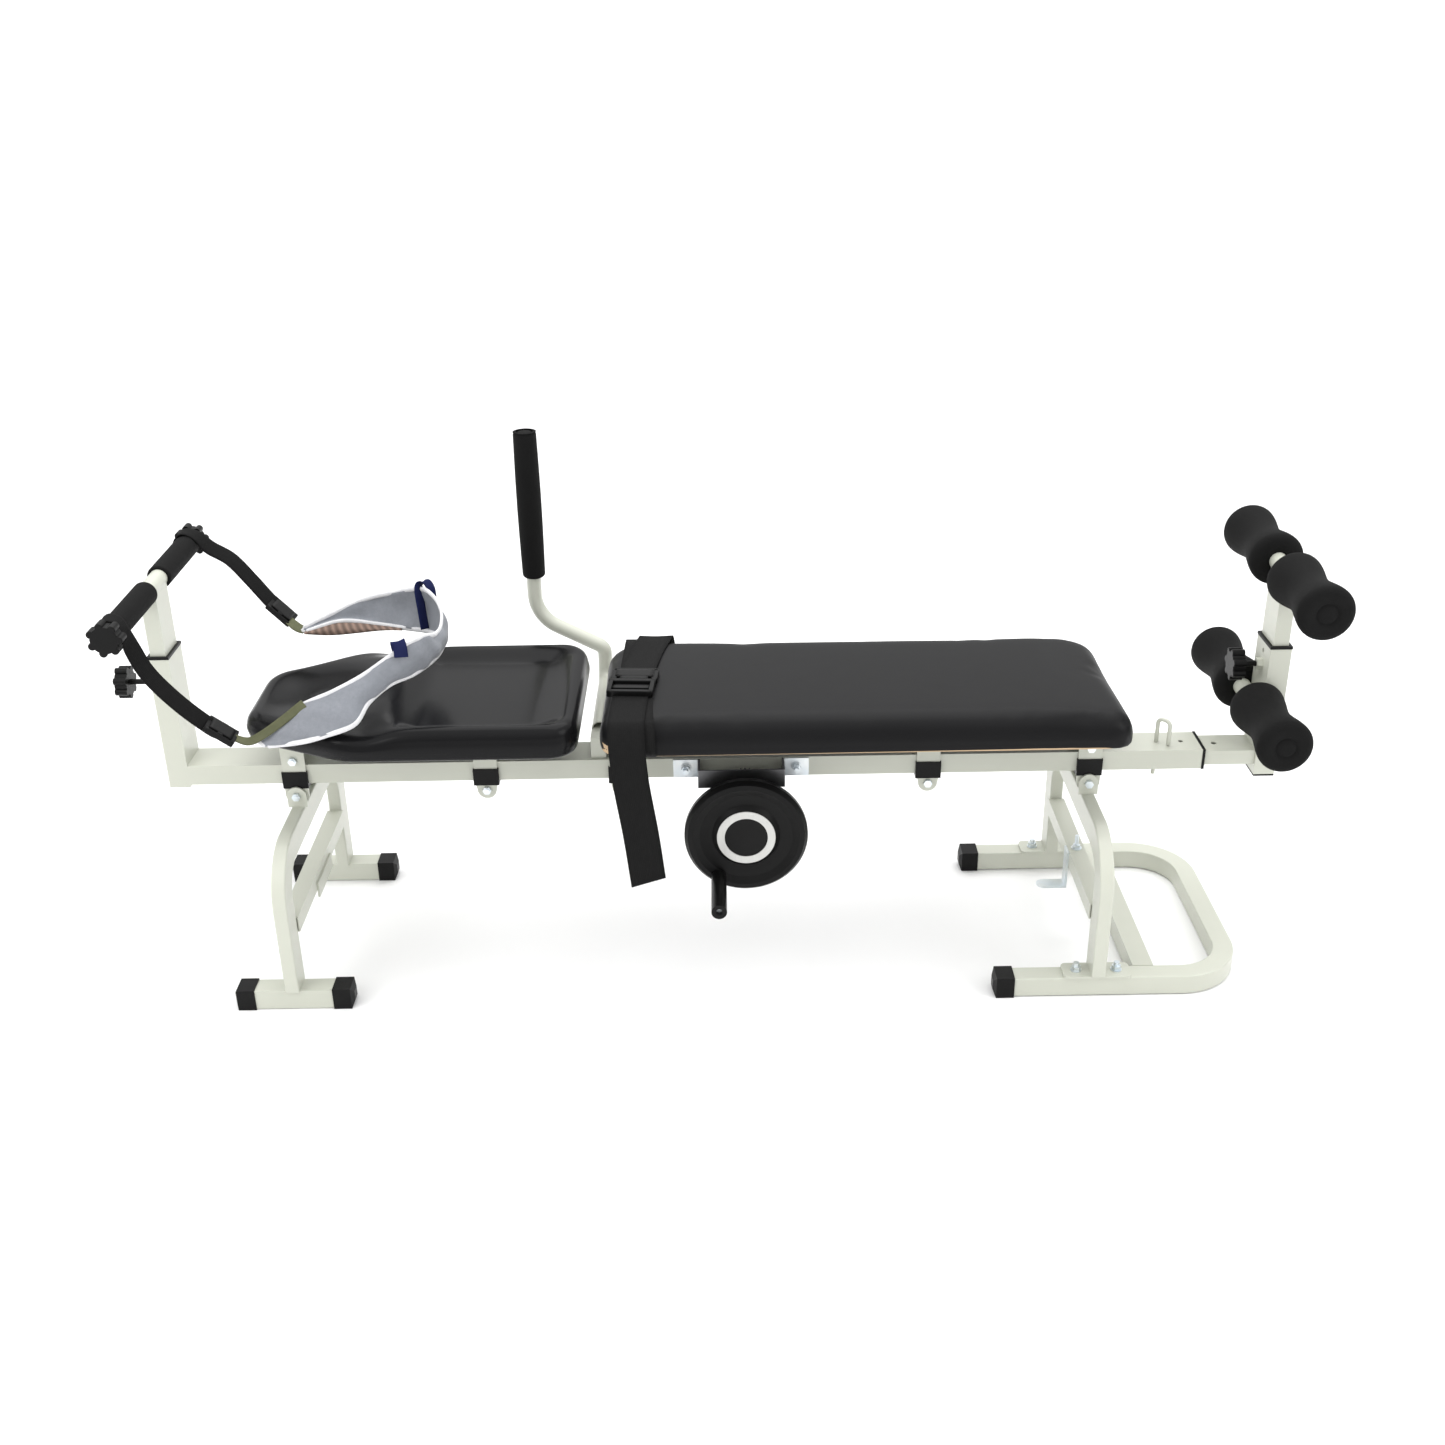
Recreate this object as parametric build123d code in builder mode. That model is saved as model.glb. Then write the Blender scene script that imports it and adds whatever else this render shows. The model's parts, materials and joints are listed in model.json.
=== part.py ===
"""Traction bench: a padded steel bench that lies on two folding legs.

A rectangular rail carries a fixed head pad and a sliding leg pad.  A hand wheel on the
user's right side moves the leg pad away from the head pad through a reduction gear and
a rack inside the rail.  A telescopic post at the head end holds two grips and a head
harness.  A telescopic tube and post at the foot end hold four foam ankle rollers.

Frame: +X runs from the head end to the foot end, +Y to the side away from the hand
wheel, +Z up.  The origin is on the floor, under the middle of the bench.  Millimetres.
"""
from build123d import *
import math
import os

os.makedirs("parts", exist_ok=True)

# ---------------------------------------------------------------- driving dimensions
# main rail and telescopic tubes
rail_width = 60          # Y
rail_height = 30         # Z
tube_wall = 2
rail_bottom = 283        # height of the rail above the floor
rail_head_x = -760       # head end of the rail, where the head post stands
rail_foot_x = 716        # open foot end of the rail
post_depth = 30          # X, head and foot posts
post_width = 60          # Y
sleeve_wall = 1.5        # plastic sleeve between inner and outer tubes
sleeve_lip = 4           # part of the sleeve that shows at the mouth
sleeve_length = 45
slide_gap = 0.4          # between a sleeve and the tube that slides in it

# head post
head_post_foot_z = 279
head_post_top_z = 482
head_inner_bottom_z = 346
head_bar_z = 583
# foot post
foot_post_x = 794        # head-side face of the foot post
foot_post_foot_z = 272
foot_post_top_z = 470
foot_inner_bottom_z = 352
foot_bar_z = 580
low_bar_z = 386
# cross bars, grips and rollers
bar_radius = 12.5
bar_wall = 2
head_bar_half = 180
grip_inner_end = 29
grip_length = 145
grip_radius = 17
roller_inner_end = 31.5
roller_length = 145
roller_end_radius = 39
roller_waist_radius = 30
running_gap = 0.05
# knobs
knob_radius = 24
knob_thickness = 18
knob_lobes = 7
knob_screw_radius = 4
head_knob_z = 436
foot_knob_z = 436
head_knob_reach = 58     # from the post's face to the knob's outer face
foot_knob_reach = 46
# pads
pad_bottom_z = 378
pad_thickness = 48
pad_half_width = 160
head_pad_start_x = -655
head_pad_end_x = -178
head_pad_nose_half = 78
head_pad_shoulder_x = -500
leg_pad_start_x = -160
leg_pad_end_x = 588
pad_corner = 45
board_thickness = 12
board_inset = 10
# pad brackets and liners
bracket_wall = 3
bracket_length = 34      # X
bracket_flange = 130     # Y, plate under the pad
liner_wall = 2
liner_length = 37
liner_top_z = 303
lug_bolt_z = 269
lug_radius = 14
bolt_radius = 4
head_bracket_x = -327
rear_bracket_x = -130
leg_bracket_x = 317
# legs
head_leg_x = -605
foot_leg_x = 552
hinge_z = 266
upper_bolt_z = 321
leg_tube_x = 20
leg_tube_y = 40
leg_half_spacing = 178   # Y, middle of each upright
leg_beam_z = 228         # middle of the top beam
leg_bend_radius = 62     # middle of the tube
floor_tube = 30
cap_wall = 1.5
cap_length = 30
head_foot_half = 86      # X, half the length of a head leg's floor tube with its caps
crossbar_size = 25
crossbar_z = 122
leg_lug_length = 28
base_tip_x = 403         # free ends of the floor base
base_turn_x = 770        # closed end of the floor base
base_bend_radius = 78
brace_x = 624
plate_length = 98
plate_width = 36
plate_thickness = 4
plate_bolt_half = 29
# hand wheel and gear train
wheel_x = 50
wheel_z = 222
wheel_radius = 89
wheel_thickness = 22
wheel_back_y = -84
ring_outer = 43
ring_inner = 31
crank_radius = 74
crank_angle = 237        # degrees from +X towards +Z, seen from the wheel side
grip_reach_y = -205
crank_grip_radius = 11
gear_module = 2
wheel_pinion_teeth = 12
reduction_teeth = 35
rack_pinion_teeth = 19
gear_width = 9
gear_y = -52
shaft_radius = 6
hat_reach_y = -68        # outer face of the hat bracket
hat_start_x = -18
hat_end_x = 107
tab_length = 36
rack_height = 9
slide_travel = 60
# grab bar
grab_radius = 11
grab_x = -263
grab_y = 188
grab_top_z = 742
grab_foot_x = -162
grab_grip_radius = 17.5
grab_grip_length = 225
# foot slide and hitch pin
foot_tube_start_x = 520
pin_x = 655
pin_radius = 3
pin_loop_x = 14
foot_slide_in = 40
foot_slide_out = 120

# ---------------------------------------------------------------- derived sizes
rail_top = rail_bottom + rail_height
rail_mid_z = rail_bottom + rail_height / 2
post_mid_x = rail_head_x - post_depth / 2
foot_post_mid_x = foot_post_x + post_depth / 2
low_bar_x = foot_post_x - bar_radius
inner_cut = 2 * (tube_wall + sleeve_wall + slide_gap)
inner_width = rail_width - inner_cut
inner_height = rail_height - inner_cut
plate_inner_y = rail_width / 2 + 0.5
plate_outer_y = plate_inner_y + bracket_wall
liner_outer_y = plate_outer_y + liner_wall
leg_lug_y = liner_outer_y + 0.5
floor_tube_z = cap_wall + floor_tube / 2
counter_z = wheel_z + gear_module * (wheel_pinion_teeth + reduction_teeth) / 2
rack_z = counter_z + gear_module * rack_pinion_teeth / 2
crank_x = wheel_x + crank_radius * math.cos(math.radians(crank_angle))
crank_z = wheel_z + crank_radius * math.sin(math.radians(crank_angle))
wheel_face_y = wheel_back_y - wheel_thickness
pad_top_z = pad_bottom_z + pad_thickness


def save(part, name):
    """Label a finished piece and write it as one STEP file."""
    part.label = name
    export_step(part, f"parts/{name}.step")


def upright_tube(mid_x, size_x, size_y, low_z, high_z, wall, open_top=True):
    """Rectangular tube that stands up, with its lower end closed by a thin plate."""
    with BuildPart() as tube:
        with BuildSketch(Plane.XY.offset(low_z)):
            with Locations((mid_x, 0)):
                Rectangle(size_x, size_y)
        extrude(amount=high_z - low_z)
        with BuildSketch(Plane.XY.offset(low_z + wall)):
            with Locations((mid_x, 0)):
                Rectangle(size_x - 2 * wall, size_y - 2 * wall)
        extrude(amount=high_z - low_z - (wall if open_top else 2 * wall), mode=Mode.SUBTRACT)
    return tube


def y_cylinder(x, z, radius, y_start, y_end, bore=0):
    """Round bar or ring along Y."""
    with BuildPart() as bar:
        with BuildSketch(Plane.XZ.offset(-y_start)):
            with Locations((x, z)):
                Circle(radius)
                if bore:
                    Circle(bore, mode=Mode.SUBTRACT)
        extrude(amount=y_start - y_end)
    return bar.part


def hex_bolt(x, z, y_head, y_nut, radius=bolt_radius):
    """Bolt along Y: hexagon head at y_head, shank, and a nut with washer at y_nut."""
    side = 1 if y_nut > y_head else -1
    with BuildPart() as bolt:
        with BuildSketch(Plane.XZ.offset(-(y_head))):
            with Locations((x, z)):
                RegularPolygon(radius * 1.6, 6)
        extrude(amount=side * radius * 1.3)
        with BuildSketch(Plane.XZ.offset(-y_head)):
            with Locations((x, z)):
                Circle(radius)
        extrude(amount=-(y_nut - y_head + side * radius * 1.6))
        with BuildSketch(Plane.XZ.offset(-y_nut)):
            with Locations((x, z)):
                RegularPolygon(radius * 1.6, 6)
        extrude(amount=-side * radius * 1.2)
    return bolt.part


def cross_tube(x, z, size_x, size_z, half_y, wall):
    """Rectangular tube along Y."""
    with BuildPart() as tube:
        with BuildSketch(Plane.XZ.offset(half_y)):
            with Locations((x, z)):
                Rectangle(size_x, size_z)
                Rectangle(size_x - 2 * wall, size_z - 2 * wall, mode=Mode.SUBTRACT)
        extrude(amount=-2 * half_y)
    return tube.part


def gear(x, z, teeth, y_start, y_end, bore, tooth_angle):
    """Spur gear along Y with straight-flanked teeth; tooth_angle aims one tooth."""
    pitch_radius = gear_module * teeth / 2
    tip_radius = pitch_radius + 0.75 * gear_module
    root_radius = pitch_radius - 1.15 * gear_module
    step = 360 / teeth
    outline = []
    for tooth in range(teeth):
        middle = tooth_angle + tooth * step
        for share, radius in ((-0.28, root_radius), (-0.09, tip_radius),
                              (0.09, tip_radius), (0.28, root_radius)):
            angle = math.radians(middle + share * step)
            outline.append((x + radius * math.cos(angle), z + radius * math.sin(angle)))
    with BuildPart() as wheel:
        with BuildSketch(Plane.XZ.offset(-y_start)):
            with BuildLine():
                Polyline(*outline, close=True)
            make_face()
            with Locations((x, z)):
                Circle(bore, mode=Mode.SUBTRACT)
        extrude(amount=y_start - y_end)
    return wheel.part


def star_knob(plane, screw_length, screw_radius=knob_screw_radius):
    """Lobed knob in the plane's XY, its screw pointing along the plane's -Z."""
    hub = knob_radius * 0.78
    with BuildPart() as knob:
        with BuildSketch(plane):
            Circle(hub)
            with PolarLocations(hub, knob_lobes):
                Circle(knob_radius - hub)
        extrude(amount=knob_thickness)
        fillet(knob.edges().group_by(Axis(plane.origin, plane.z_dir))[-1], 1.5)
        with BuildSketch(plane):
            Circle(screw_radius)
        extrude(amount=-screw_length)
    return knob.part


def roller(x, z, y_near, y_far):
    """Foam roller along Y with a narrow waist, bored for the cross bar."""
    middle = (y_near + y_far) / 2
    end = roller_end_radius
    with BuildPart() as foam:
        with BuildSketch(Plane.YZ.offset(x)):
            with BuildLine():
                bore = z + bar_radius + running_gap
                Line((y_near, bore), (y_near, z + end - 8))
                RadiusArc((y_near, z + end - 8), (y_near + 8, z + end), 8)
                Spline((y_near + 8, z + end), (middle, z + roller_waist_radius),
                       (y_far - 8, z + end), tangents=((1, 0), (1, 0)))
                RadiusArc((y_far - 8, z + end), (y_far, z + end - 8), 8)
                Line((y_far, z + end - 8), (y_far, bore))
                Line((y_far, bore), (y_near, bore))
            make_face()
        revolve(axis=Axis((x, 0, z), (0, 1, 0)))
    return foam.part


def pad_outline(start_x, end_x, nose_half, shoulder_x, inset=0):
    """Plan outline of a pad: full width to the shoulder, then narrower to its start."""
    half = pad_half_width - inset
    nose = nose_half - inset
    corners = [(end_x - inset, -half), (end_x - inset, half), (shoulder_x, half),
               (start_x + inset, nose), (start_x + inset, -nose), (shoulder_x, -half)]
    if nose_half >= pad_half_width:
        corners = [(end_x - inset, -half), (end_x - inset, half),
                   (start_x + inset, half), (start_x + inset, -half)]
    radius = pad_corner - inset
    return FilletPolyline(*corners, radius=radius, close=True)


def pad_and_board(name, start_x, end_x, nose_half, shoulder_x):
    """Upholstered cushion wrapped over a plywood board."""
    with BuildPart() as board:
        with BuildSketch(Plane.XY.offset(pad_bottom_z)):
            with BuildLine():
                pad_outline(start_x, end_x, nose_half, shoulder_x, board_inset)
            make_face()
        extrude(amount=board_thickness)
    save(board.part, f"{name}_board")
    with BuildPart() as pad:
        with BuildSketch(Plane.XY.offset(pad_bottom_z)):
            with BuildLine():
                pad_outline(start_x, end_x, nose_half, shoulder_x)
            make_face()
        extrude(amount=pad_thickness)
        fillet(pad.faces().sort_by(Axis.Z)[-1].edges(), 14)
        add(board.part, mode=Mode.SUBTRACT)
    save(pad.part, name)


def saddle_plates(mid_x, low_z, high_z, length):
    """Two side plates, one on each side of the rail, with a rounded lower end."""
    with BuildPart() as plates:
        with BuildSketch(Plane.XZ.offset(plate_inner_y)):
            with BuildLine():
                half = length / 2
                Line((mid_x - half, high_z), (mid_x + half, high_z))
                Line((mid_x + half, high_z), (mid_x + half, rail_bottom))
                Line((mid_x + half, rail_bottom), (mid_x + lug_radius, lug_bolt_z))
                ThreePointArc((mid_x + lug_radius, lug_bolt_z), (mid_x, low_z),
                              (mid_x - lug_radius, lug_bolt_z))
                Line((mid_x - lug_radius, lug_bolt_z), (mid_x - half, rail_bottom))
                Line((mid_x - half, rail_bottom), (mid_x - half, high_z))
            make_face()
            with Locations((mid_x, lug_bolt_z)):
                Circle(bolt_radius, mode=Mode.SUBTRACT)
        extrude(amount=bracket_wall)
        mirror(about=Plane.XZ)
    return plates


def rail_liner(mid_x):
    """Plastic collar round the rail's lower half, slotted for the bracket's plates."""
    low_z = rail_bottom - 6
    height = liner_top_z - low_z
    with BuildPart() as liner:
        with Locations((mid_x, 0, low_z + height / 2)):
            Box(liner_length, 2 * liner_outer_y, height)
        with Locations((mid_x, 0, rail_bottom + rail_height / 2)):
            Box(liner_length, rail_width + 2 * slide_gap, rail_height + 2 * slide_gap,
                mode=Mode.SUBTRACT)
        for side in (1, -1):
            with Locations((mid_x, side * (plate_inner_y + plate_outer_y) / 2, rail_mid_z)):
                Box(bracket_length, bracket_wall, 4 * rail_height, mode=Mode.SUBTRACT)
        with BuildSketch(Plane.XY.offset(low_z)):
            with Locations((mid_x, 0)):
                Rectangle(liner_length, 2 * plate_inner_y)
        extrude(amount=2)
        with BuildSketch(Plane.XY.offset(low_z)):
            with Locations((mid_x, 0)):
                Rectangle(liner_length, 2 * plate_inner_y)
        extrude(amount=6 - slide_gap)
    return liner.part


def pad_bracket(mid_x):
    """Saddle over the rail that carries a pad: two side plates and a top plate."""
    plates = saddle_plates(mid_x, lug_bolt_z - lug_radius, pad_bottom_z - bracket_wall,
                           bracket_length)
    with BuildPart() as saddle:
        add(plates.part)
        with Locations((mid_x, 0, pad_bottom_z - bracket_wall / 2)):
            Box(bracket_length, bracket_flange, bracket_wall)
    return saddle.part


def group(name, pieces):
    """Write several separate solids as one node."""
    with BuildPart() as together:
        for piece in pieces:
            add(piece)
    save(together.part, name)


# ---------------------------------------------------------------- main rail and posts
with BuildPart() as main_rail:
    with BuildSketch(Plane.YZ.offset(rail_head_x)):
        with Locations((0, rail_mid_z)):
            Rectangle(rail_width, rail_height)
            Rectangle(rail_width - 2 * tube_wall, rail_height - 2 * tube_wall,
                      mode=Mode.SUBTRACT)
    extrude(amount=rail_foot_x - rail_head_x)
    # slot in the top for the rack's post
    with Locations((rear_bracket_x + slide_travel / 2, 0, rail_top)):
        Box(slide_travel + 26, 14, 4 * tube_wall, mode=Mode.SUBTRACT)
    # slot in the bottom for the rack pinion
    with Locations((wheel_x, 0, rail_bottom)):
        Box(2 * (gear_module * rack_pinion_teeth / 2 + 4), gear_width * 2 + 4, 4 * tube_wall,
            mode=Mode.SUBTRACT)
    # hitch pin holes and one spare hole
    with Locations((pin_x, 0, rail_mid_z), (pin_x + 36, 0, rail_mid_z)):
        Cylinder(pin_radius + 0.5, 2 * rail_height, mode=Mode.SUBTRACT)
save(main_rail.part, "main_rail")


def weld_nut(face_x, z):
    """Nut that is welded on the head-side face of a post."""
    with BuildPart() as nut:
        with BuildSketch(Plane(origin=(face_x, 0, z), x_dir=(0, 1, 0), z_dir=(-1, 0, 0))):
            RegularPolygon(9, 6)
            Circle(knob_screw_radius + running_gap, mode=Mode.SUBTRACT)
        extrude(amount=8)
    return nut.part


head_post = upright_tube(post_mid_x, post_depth, post_width, head_post_foot_z,
                         head_post_top_z, tube_wall)
with BuildPart() as head_post_drilled:
    add(head_post.part)
    with Locations(Location((rail_head_x - post_depth, 0, head_knob_z), (0, 90, 0))):
        Cylinder(knob_screw_radius + running_gap, 4 * tube_wall, mode=Mode.SUBTRACT)
    add(weld_nut(rail_head_x - post_depth, head_knob_z))
save(head_post_drilled.part, "head_post")

foot_post = upright_tube(foot_post_mid_x, post_depth, post_width, foot_post_foot_z,
                         foot_post_top_z, tube_wall)
with BuildPart() as foot_post_drilled:
    add(foot_post.part)
    with Locations(Location((foot_post_x, 0, foot_knob_z), (0, 90, 0))):
        Cylinder(knob_screw_radius + running_gap, 4 * tube_wall, mode=Mode.SUBTRACT)
    with Locations(Location((foot_post_x, 0, foot_post_top_z - 14), (0, 90, 0))):
        Cylinder(3.5, 4 * tube_wall, mode=Mode.SUBTRACT)
    add(weld_nut(foot_post_x, foot_knob_z))
save(foot_post_drilled.part, "foot_post")

with BuildPart() as foot_post_cap:
    with Locations((foot_post_mid_x, 0, foot_post_foot_z - 1.5)):
        Box(post_depth, post_width, 3)


def post_sleeve(mid_x, top_z, hole_z, side):
    """Plastic sleeve in the mouth of an upright post, with a lip on top."""
    with BuildPart() as sleeve:
        with BuildSketch(Plane.XY.offset(top_z)):
            with Locations((mid_x, 0)):
                Rectangle(post_depth + 1.5, post_width + 1.5)
        extrude(amount=sleeve_lip)
        with BuildSketch(Plane.XY.offset(top_z)):
            with Locations((mid_x, 0)):
                Rectangle(post_depth - 2 * tube_wall, post_width - 2 * tube_wall)
        extrude(amount=-sleeve_length)
        with BuildSketch(Plane.XY.offset(top_z + sleeve_lip)):
            with Locations((mid_x, 0)):
                Rectangle(inner_height + 2 * slide_gap, inner_width + 2 * slide_gap)
        extrude(amount=-(sleeve_lip + sleeve_length), mode=Mode.SUBTRACT)
        if hole_z > top_z - sleeve_length - knob_screw_radius - 2:
            with Locations(Location((mid_x + side * post_depth / 2, 0, hole_z), (0, 90, 0))):
                Cylinder(knob_screw_radius + 1, 4 * tube_wall + 4 * sleeve_wall,
                         mode=Mode.SUBTRACT)
    return sleeve.part


group("foot_post_plastics", [post_sleeve(foot_post_mid_x, foot_post_top_z, foot_knob_z, -1),
                             foot_post_cap.part])

with BuildPart() as rail_end_sleeve:
    with BuildSketch(Plane.YZ.offset(rail_foot_x)):
        with Locations((0, rail_mid_z)):
            Rectangle(rail_width + 1.5, rail_height + 1.5)
    extrude(amount=sleeve_lip)
    with BuildSketch(Plane.YZ.offset(rail_foot_x)):
        with Locations((0, rail_mid_z)):
            Rectangle(rail_width - 2 * tube_wall, rail_height - 2 * tube_wall)
    extrude(amount=-sleeve_length / 2)
    with BuildSketch(Plane.YZ.offset(rail_foot_x + sleeve_lip)):
        with Locations((0, rail_mid_z)):
            Rectangle(inner_width + 2 * slide_gap, inner_height + 2 * slide_gap)
    extrude(amount=-(sleeve_lip + sleeve_length), mode=Mode.SUBTRACT)
group("frame_sleeves", [post_sleeve(post_mid_x, head_post_top_z, head_knob_z, -1),
                        rail_end_sleeve.part])

# ---------------------------------------------------------------- sliding posts
def inner_post(mid_x, low_z, bar_z):
    """Inner tube of a post, notched at the top for the round cross bar."""
    with BuildPart() as post:
        with BuildSketch(Plane.XY.offset(low_z)):
            with Locations((mid_x, 0)):
                Rectangle(inner_height, inner_width)
                Rectangle(inner_height - 2 * tube_wall, inner_width - 2 * tube_wall,
                          mode=Mode.SUBTRACT)
        extrude(amount=bar_z - low_z)
        with Locations(Location((mid_x, 0, bar_z), (90, 0, 0))):
            Cylinder(bar_radius, 2 * post_width, mode=Mode.SUBTRACT)
    return post.part


save(inner_post(post_mid_x, head_inner_bottom_z, head_bar_z), "head_inner_post")
save(inner_post(foot_post_mid_x, foot_inner_bottom_z, foot_bar_z), "foot_inner_post")

roller_end = roller_inner_end + roller_length
save(y_cylinder(post_mid_x, head_bar_z, bar_radius, -head_bar_half, head_bar_half,
                bar_radius - bar_wall), "head_cross_bar")
save(y_cylinder(foot_post_mid_x, foot_bar_z, bar_radius, 4 - roller_end, roller_end - 4,
                bar_radius - bar_wall), "upper_roller_bar")
save(y_cylinder(low_bar_x, low_bar_z, bar_radius, 4 - roller_end, roller_end - 4,
                bar_radius - bar_wall), "lower_roller_bar")

group("head_grips", [y_cylinder(post_mid_x, head_bar_z, grip_radius, start, start + grip_length,
                                bar_radius)
                     for start in (-grip_inner_end - grip_length, grip_inner_end)])
for side, place in ((-1, "near"), (1, "far")):
    roller_ends = sorted((side * roller_inner_end, side * (roller_end - 0.5)))
    save(roller(foot_post_mid_x, foot_bar_z, *roller_ends), f"upper_roller_{place}")
    save(roller(low_bar_x, low_bar_z, *roller_ends), f"lower_roller_{place}")
    knob_plane = Plane(origin=(post_mid_x, side * (head_bar_half + 4), head_bar_z),
                       x_dir=(1, 0, 0), z_dir=(0, side, 0))
    save(star_knob(knob_plane, 24), f"harness_knob_{place}")

head_knob_plane = Plane(origin=(rail_head_x - post_depth - head_knob_reach + knob_thickness,
                                0, head_knob_z), x_dir=(0, 1, 0), z_dir=(-1, 0, 0))
knob_gap = tube_wall + sleeve_wall + slide_gap
save(star_knob(head_knob_plane, head_knob_reach - knob_thickness + knob_gap - 0.5),
     "head_post_knob")
foot_knob_plane = Plane(origin=(foot_post_x - foot_knob_reach + knob_thickness, 0,
                                foot_knob_z), x_dir=(0, 1, 0), z_dir=(-1, 0, 0))
save(star_knob(foot_knob_plane, foot_knob_reach - knob_thickness + knob_gap - 0.5),
     "foot_post_knob")

with BuildPart() as foot_inner_tube:
    with BuildSketch(Plane.YZ.offset(foot_tube_start_x)):
        with Locations((0, rail_mid_z)):
            Rectangle(inner_width, inner_height)
            Rectangle(inner_width - 2 * tube_wall, inner_height - 2 * tube_wall,
                      mode=Mode.SUBTRACT)
    extrude(amount=foot_post_x - foot_tube_start_x)
    slot_start = pin_x - foot_slide_out - 2 * pin_radius
    slot_end = pin_x + foot_slide_in + 2 * pin_radius
    with Locations(((slot_start + slot_end) / 2, 0, rail_mid_z)):
        Box(slot_end - slot_start, 2 * pin_radius + 2, 2 * rail_height, mode=Mode.SUBTRACT)
    with Locations((rail_foot_x + 24, 0, rail_mid_z)):
        Cylinder(4, 2 * rail_height, mode=Mode.SUBTRACT)
save(foot_inner_tube.part, "foot_inner_tube")

# ---------------------------------------------------------------- hitch pin
with BuildPart() as hitch_pin:
    with BuildLine() as pin_route:
        FilletPolyline((pin_x, 0, rail_bottom - 22), (pin_x, 0, rail_top + 38),
                       (pin_x + pin_loop_x, -14, rail_top + 38),
                       (pin_x + pin_loop_x, -14, rail_top + 2), radius=8)
    with BuildSketch(Plane.XY.offset(rail_bottom - 22)):
        with Locations((pin_x, 0)):
            Circle(pin_radius)
    sweep()
save(hitch_pin.part, "hitch_pin")

# ---------------------------------------------------------------- pads
pad_and_board("head_pad", head_pad_start_x, head_pad_end_x, head_pad_nose_half,
              head_pad_shoulder_x)
pad_and_board("leg_pad", leg_pad_start_x, leg_pad_end_x, pad_half_width, leg_pad_start_x)

save(pad_bracket(head_bracket_x), "head_pad_bracket")
group("carriage_brackets", [pad_bracket(leg_bracket_x), pad_bracket(rear_bracket_x)])
group("rail_liners", [rail_liner(x) for x in (head_leg_x, head_bracket_x, foot_leg_x)])
group("carriage_liners", [rail_liner(x) for x in (leg_bracket_x, rear_bracket_x)])
bolt_y = plate_outer_y
group("carriage_bolts", [hex_bolt(x, lug_bolt_z, -bolt_y, bolt_y)
                         for x in (leg_bracket_x, rear_bracket_x)])

# ---------------------------------------------------------------- leg brackets
def leg_bracket(mid_x, top_z, top_width):
    """Two plates beside the rail that hold a leg's hinge bolt, tied by a top plate."""
    half = bracket_length / 2
    with BuildPart() as bracket:
        with BuildSketch(Plane.XZ.offset(plate_inner_y)):
            with BuildLine():
                Line((mid_x - half, top_z), (mid_x + half, top_z))
                Line((mid_x + half, top_z), (mid_x + half, hinge_z))
                ThreePointArc((mid_x + half, hinge_z), (mid_x, hinge_z - half),
                              (mid_x - half, hinge_z))
                Line((mid_x - half, hinge_z), (mid_x - half, top_z))
            make_face()
            with Locations((mid_x, hinge_z), (mid_x, upper_bolt_z)):
                Circle(bolt_radius, mode=Mode.SUBTRACT)
        extrude(amount=bracket_wall)
        mirror(about=Plane.XZ)
        with Locations((mid_x, 0, top_z - bracket_wall / 2)):
            Box(bracket_length, top_width, bracket_wall)
    return bracket.part


save(leg_bracket(head_leg_x, pad_bottom_z, bracket_flange), "head_leg_bracket")
save(leg_bracket(foot_leg_x, upper_bolt_z + 14, 2 * plate_outer_y), "foot_leg_bracket")
hinge_y = leg_lug_y + bracket_wall + 0.4
tab_bolt_places = [hat_start_x - tab_length / 2, hat_end_x + tab_length / 2]
with BuildPart() as tab_bolts:
    for x in tab_bolt_places:
        for start, size, sides, length in ((0, bolt_radius, 0, bracket_wall),
                                           (bracket_wall, 8, 0, 1.5),
                                           (bracket_wall + 1.5, 6.8, 6, 6),
                                           (bracket_wall + 7.5, bolt_radius, 0, 6)):
            with BuildSketch(Plane.XZ.offset(rail_width / 2 + start)):
                with Locations((x, rail_mid_z)):
                    if sides:
                        RegularPolygon(size, sides)
                    else:
                        Circle(size)
            extrude(amount=length)
group("frame_bolts", [hex_bolt(head_leg_x, upper_bolt_z, bolt_y, -bolt_y),
                      hex_bolt(foot_leg_x, upper_bolt_z, -bolt_y, bolt_y),
                      hex_bolt(head_bracket_x, lug_bolt_z, bolt_y, -bolt_y),
                      hex_bolt(head_leg_x, hinge_z, hinge_y, -hinge_y),
                      hex_bolt(foot_leg_x, hinge_z, -hinge_y, hinge_y),
                      tab_bolts.part])


# ---------------------------------------------------------------- legs
def leg_hoop(mid_x, foot_z):
    """Rectangular tube bent into an inverted U, standing in the YZ plane."""
    with BuildPart() as hoop:
        with BuildSketch(Plane.YZ.offset(mid_x - leg_tube_x / 2)):
            for size, mode in ((leg_tube_y / 2, Mode.ADD), (-leg_tube_y / 2, Mode.SUBTRACT)):
                half = leg_half_spacing + size
                top = leg_beam_z + size
                with BuildLine(mode=Mode.PRIVATE) as edge:
                    FilletPolyline((-half, foot_z), (-half, top), (half, top),
                                   (half, foot_z), radius=leg_bend_radius + size)
                    Line((half, foot_z), (-half, foot_z))
                make_face(edge.edges(), mode=mode)
        extrude(amount=leg_tube_x)
        fillet(hoop.edges().filter_by(Axis.Z), 2.5)
    return hoop


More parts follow.
